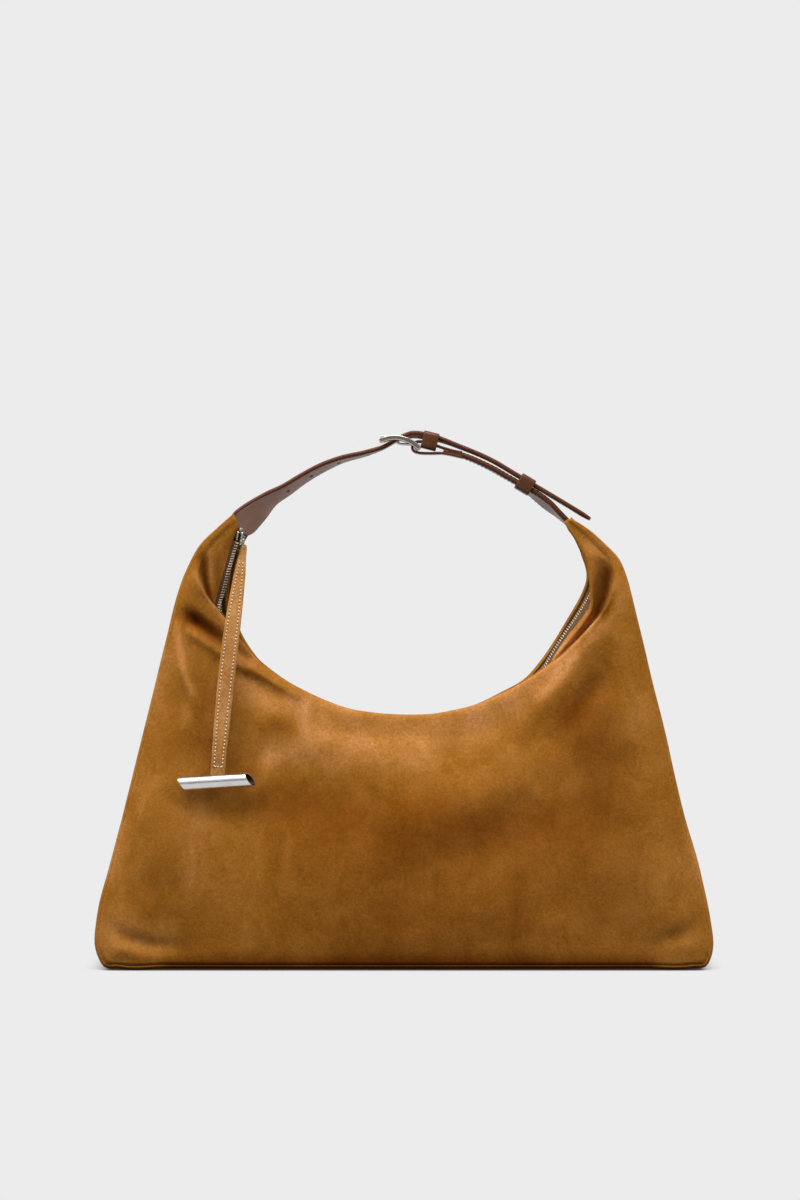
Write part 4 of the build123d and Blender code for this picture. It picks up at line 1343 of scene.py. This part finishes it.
def set_band(ramp, *stops):
    """Sets the two stops of a ramp: (position, colour)."""
    for element, (position, colour) in zip(ramp.color_ramp.elements, stops):
        element.position = position
        element.color = (*colour, 1)


def floor_material():
    """Pale paper that glows evenly, with a thin contact shadow painted into its glow from ambient
    occlusion; bright to the eye and in reflections.
    """
    material = bpy.data.materials.new("floor_paper")
    material.use_nodes = True
    tree = material.node_tree
    output, mix, path, either, contact, shade, seen, bounce = add_nodes(
        tree, "OutputMaterial MixShader LightPath Math AmbientOcclusion ValToRGB Emission BsdfDiffuse"
    )
    either.operation = "MAXIMUM"
    contact.samples = 12
    contact.inputs["Distance"].default_value = CONTACT_REACH
    # Painted contact shadow: the glowing paper darkens where ambient occlusion finds the bag close by.
    set_band(shade, (0.08, (0.045, 0.033, 0.028)), (0.62, (PAPER,) * 3))
    bounce.inputs["Color"].default_value = (0.13, 0.12, 0.115, 1)
    link_all(
        tree,
        (path.outputs["Is Camera Ray"], either.inputs[0]),
        (path.outputs["Is Glossy Ray"], either.inputs[1]),
        (contact.outputs["AO"], shade.inputs["Fac"]),
        (shade.outputs["Color"], seen.inputs["Color"]),
        (either.outputs[0], mix.inputs[0]),
        (bounce.outputs[0], mix.inputs[1]),
        (seen.outputs[0], mix.inputs[2]),
        (mix.outputs[0], output.inputs[0]),
    )
    return material


def make_floor():
    bpy.ops.mesh.primitive_plane_add(size=40.0, location=(0, 0, -0.0005))
    floor = bpy.context.object
    floor.name = "floor"
    floor.data.materials.append(floor_material())


def make_world():
    """Paper grey for the camera; a soft sky, brighter above, for everything else."""
    world = bpy.data.worlds.new("studio")
    bpy.context.scene.world = world
    world.use_nodes = True
    tree = world.node_tree
    output, mix, path, seen, sky, place, split, ramp = add_nodes(
        tree, "OutputWorld MixShader LightPath Background Background TexCoord SeparateXYZ ValToRGB"
    )
    seen.inputs["Color"].default_value = (PAPER, PAPER, PAPER, 1)
    set_band(ramp, (0.12, (0.14, 0.14, 0.14)), (0.6, (0.85, 0.85, 0.85)))
    link_all(
        tree,
        (place.outputs["Generated"], split.inputs[0]),
        (split.outputs["Z"], ramp.inputs["Fac"]),
        (ramp.outputs["Color"], sky.inputs["Color"]),
        (path.outputs["Is Camera Ray"], mix.inputs[0]),
        (sky.outputs[0], mix.inputs[1]),
        (seen.outputs[0], mix.inputs[2]),
        (mix.outputs[0], output.inputs[0]),
    )


def area_light(name, place, target, size, power, receivers):
    """Soft box that lights only the bag."""
    data = bpy.data.lights.new(name, "AREA")
    data.shape = "SQUARE"
    data.size = size
    data.energy = power
    lamp = bpy.data.objects.new(name, data)
    bpy.context.scene.collection.objects.link(lamp)
    lamp.location = place
    lamp.rotation_euler = (Vector(target) - Vector(place)).to_track_quat("-Z", "Y").to_euler()
    lamp.light_linking.receiver_collection = receivers


def make_lights():
    receivers = bpy.data.collections.new("lit_pieces")
    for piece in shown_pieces():
        receivers.objects.link(piece)
    area_light("key", (-1.5, -1.1, 1.9), (0, 0, 0.15), 1.1, 40, receivers)
    area_light("top", (0.0, -0.7, 2.3), (0, 0, 0.2), 1.2, 34, receivers)
    area_light("rim", (2.0, -0.3, 0.9), (0, 0, 0.2), 1.0, 16, receivers)


def make_camera():
    data = bpy.data.cameras.new("camera")
    data.lens = 115.0
    data.sensor_width = 36.0
    data.clip_end = 50.0
    camera = bpy.data.objects.new("camera", data)
    bpy.context.scene.collection.objects.link(camera)
    camera.location = (-0.003, -3.02, 0.286)
    camera.rotation_euler = (math.radians(90), 0, 0)
    bpy.context.scene.camera = camera


make_lights()
make_floor()
make_world()
make_camera()
bpy.context.scene.view_settings.view_transform = "Standard"
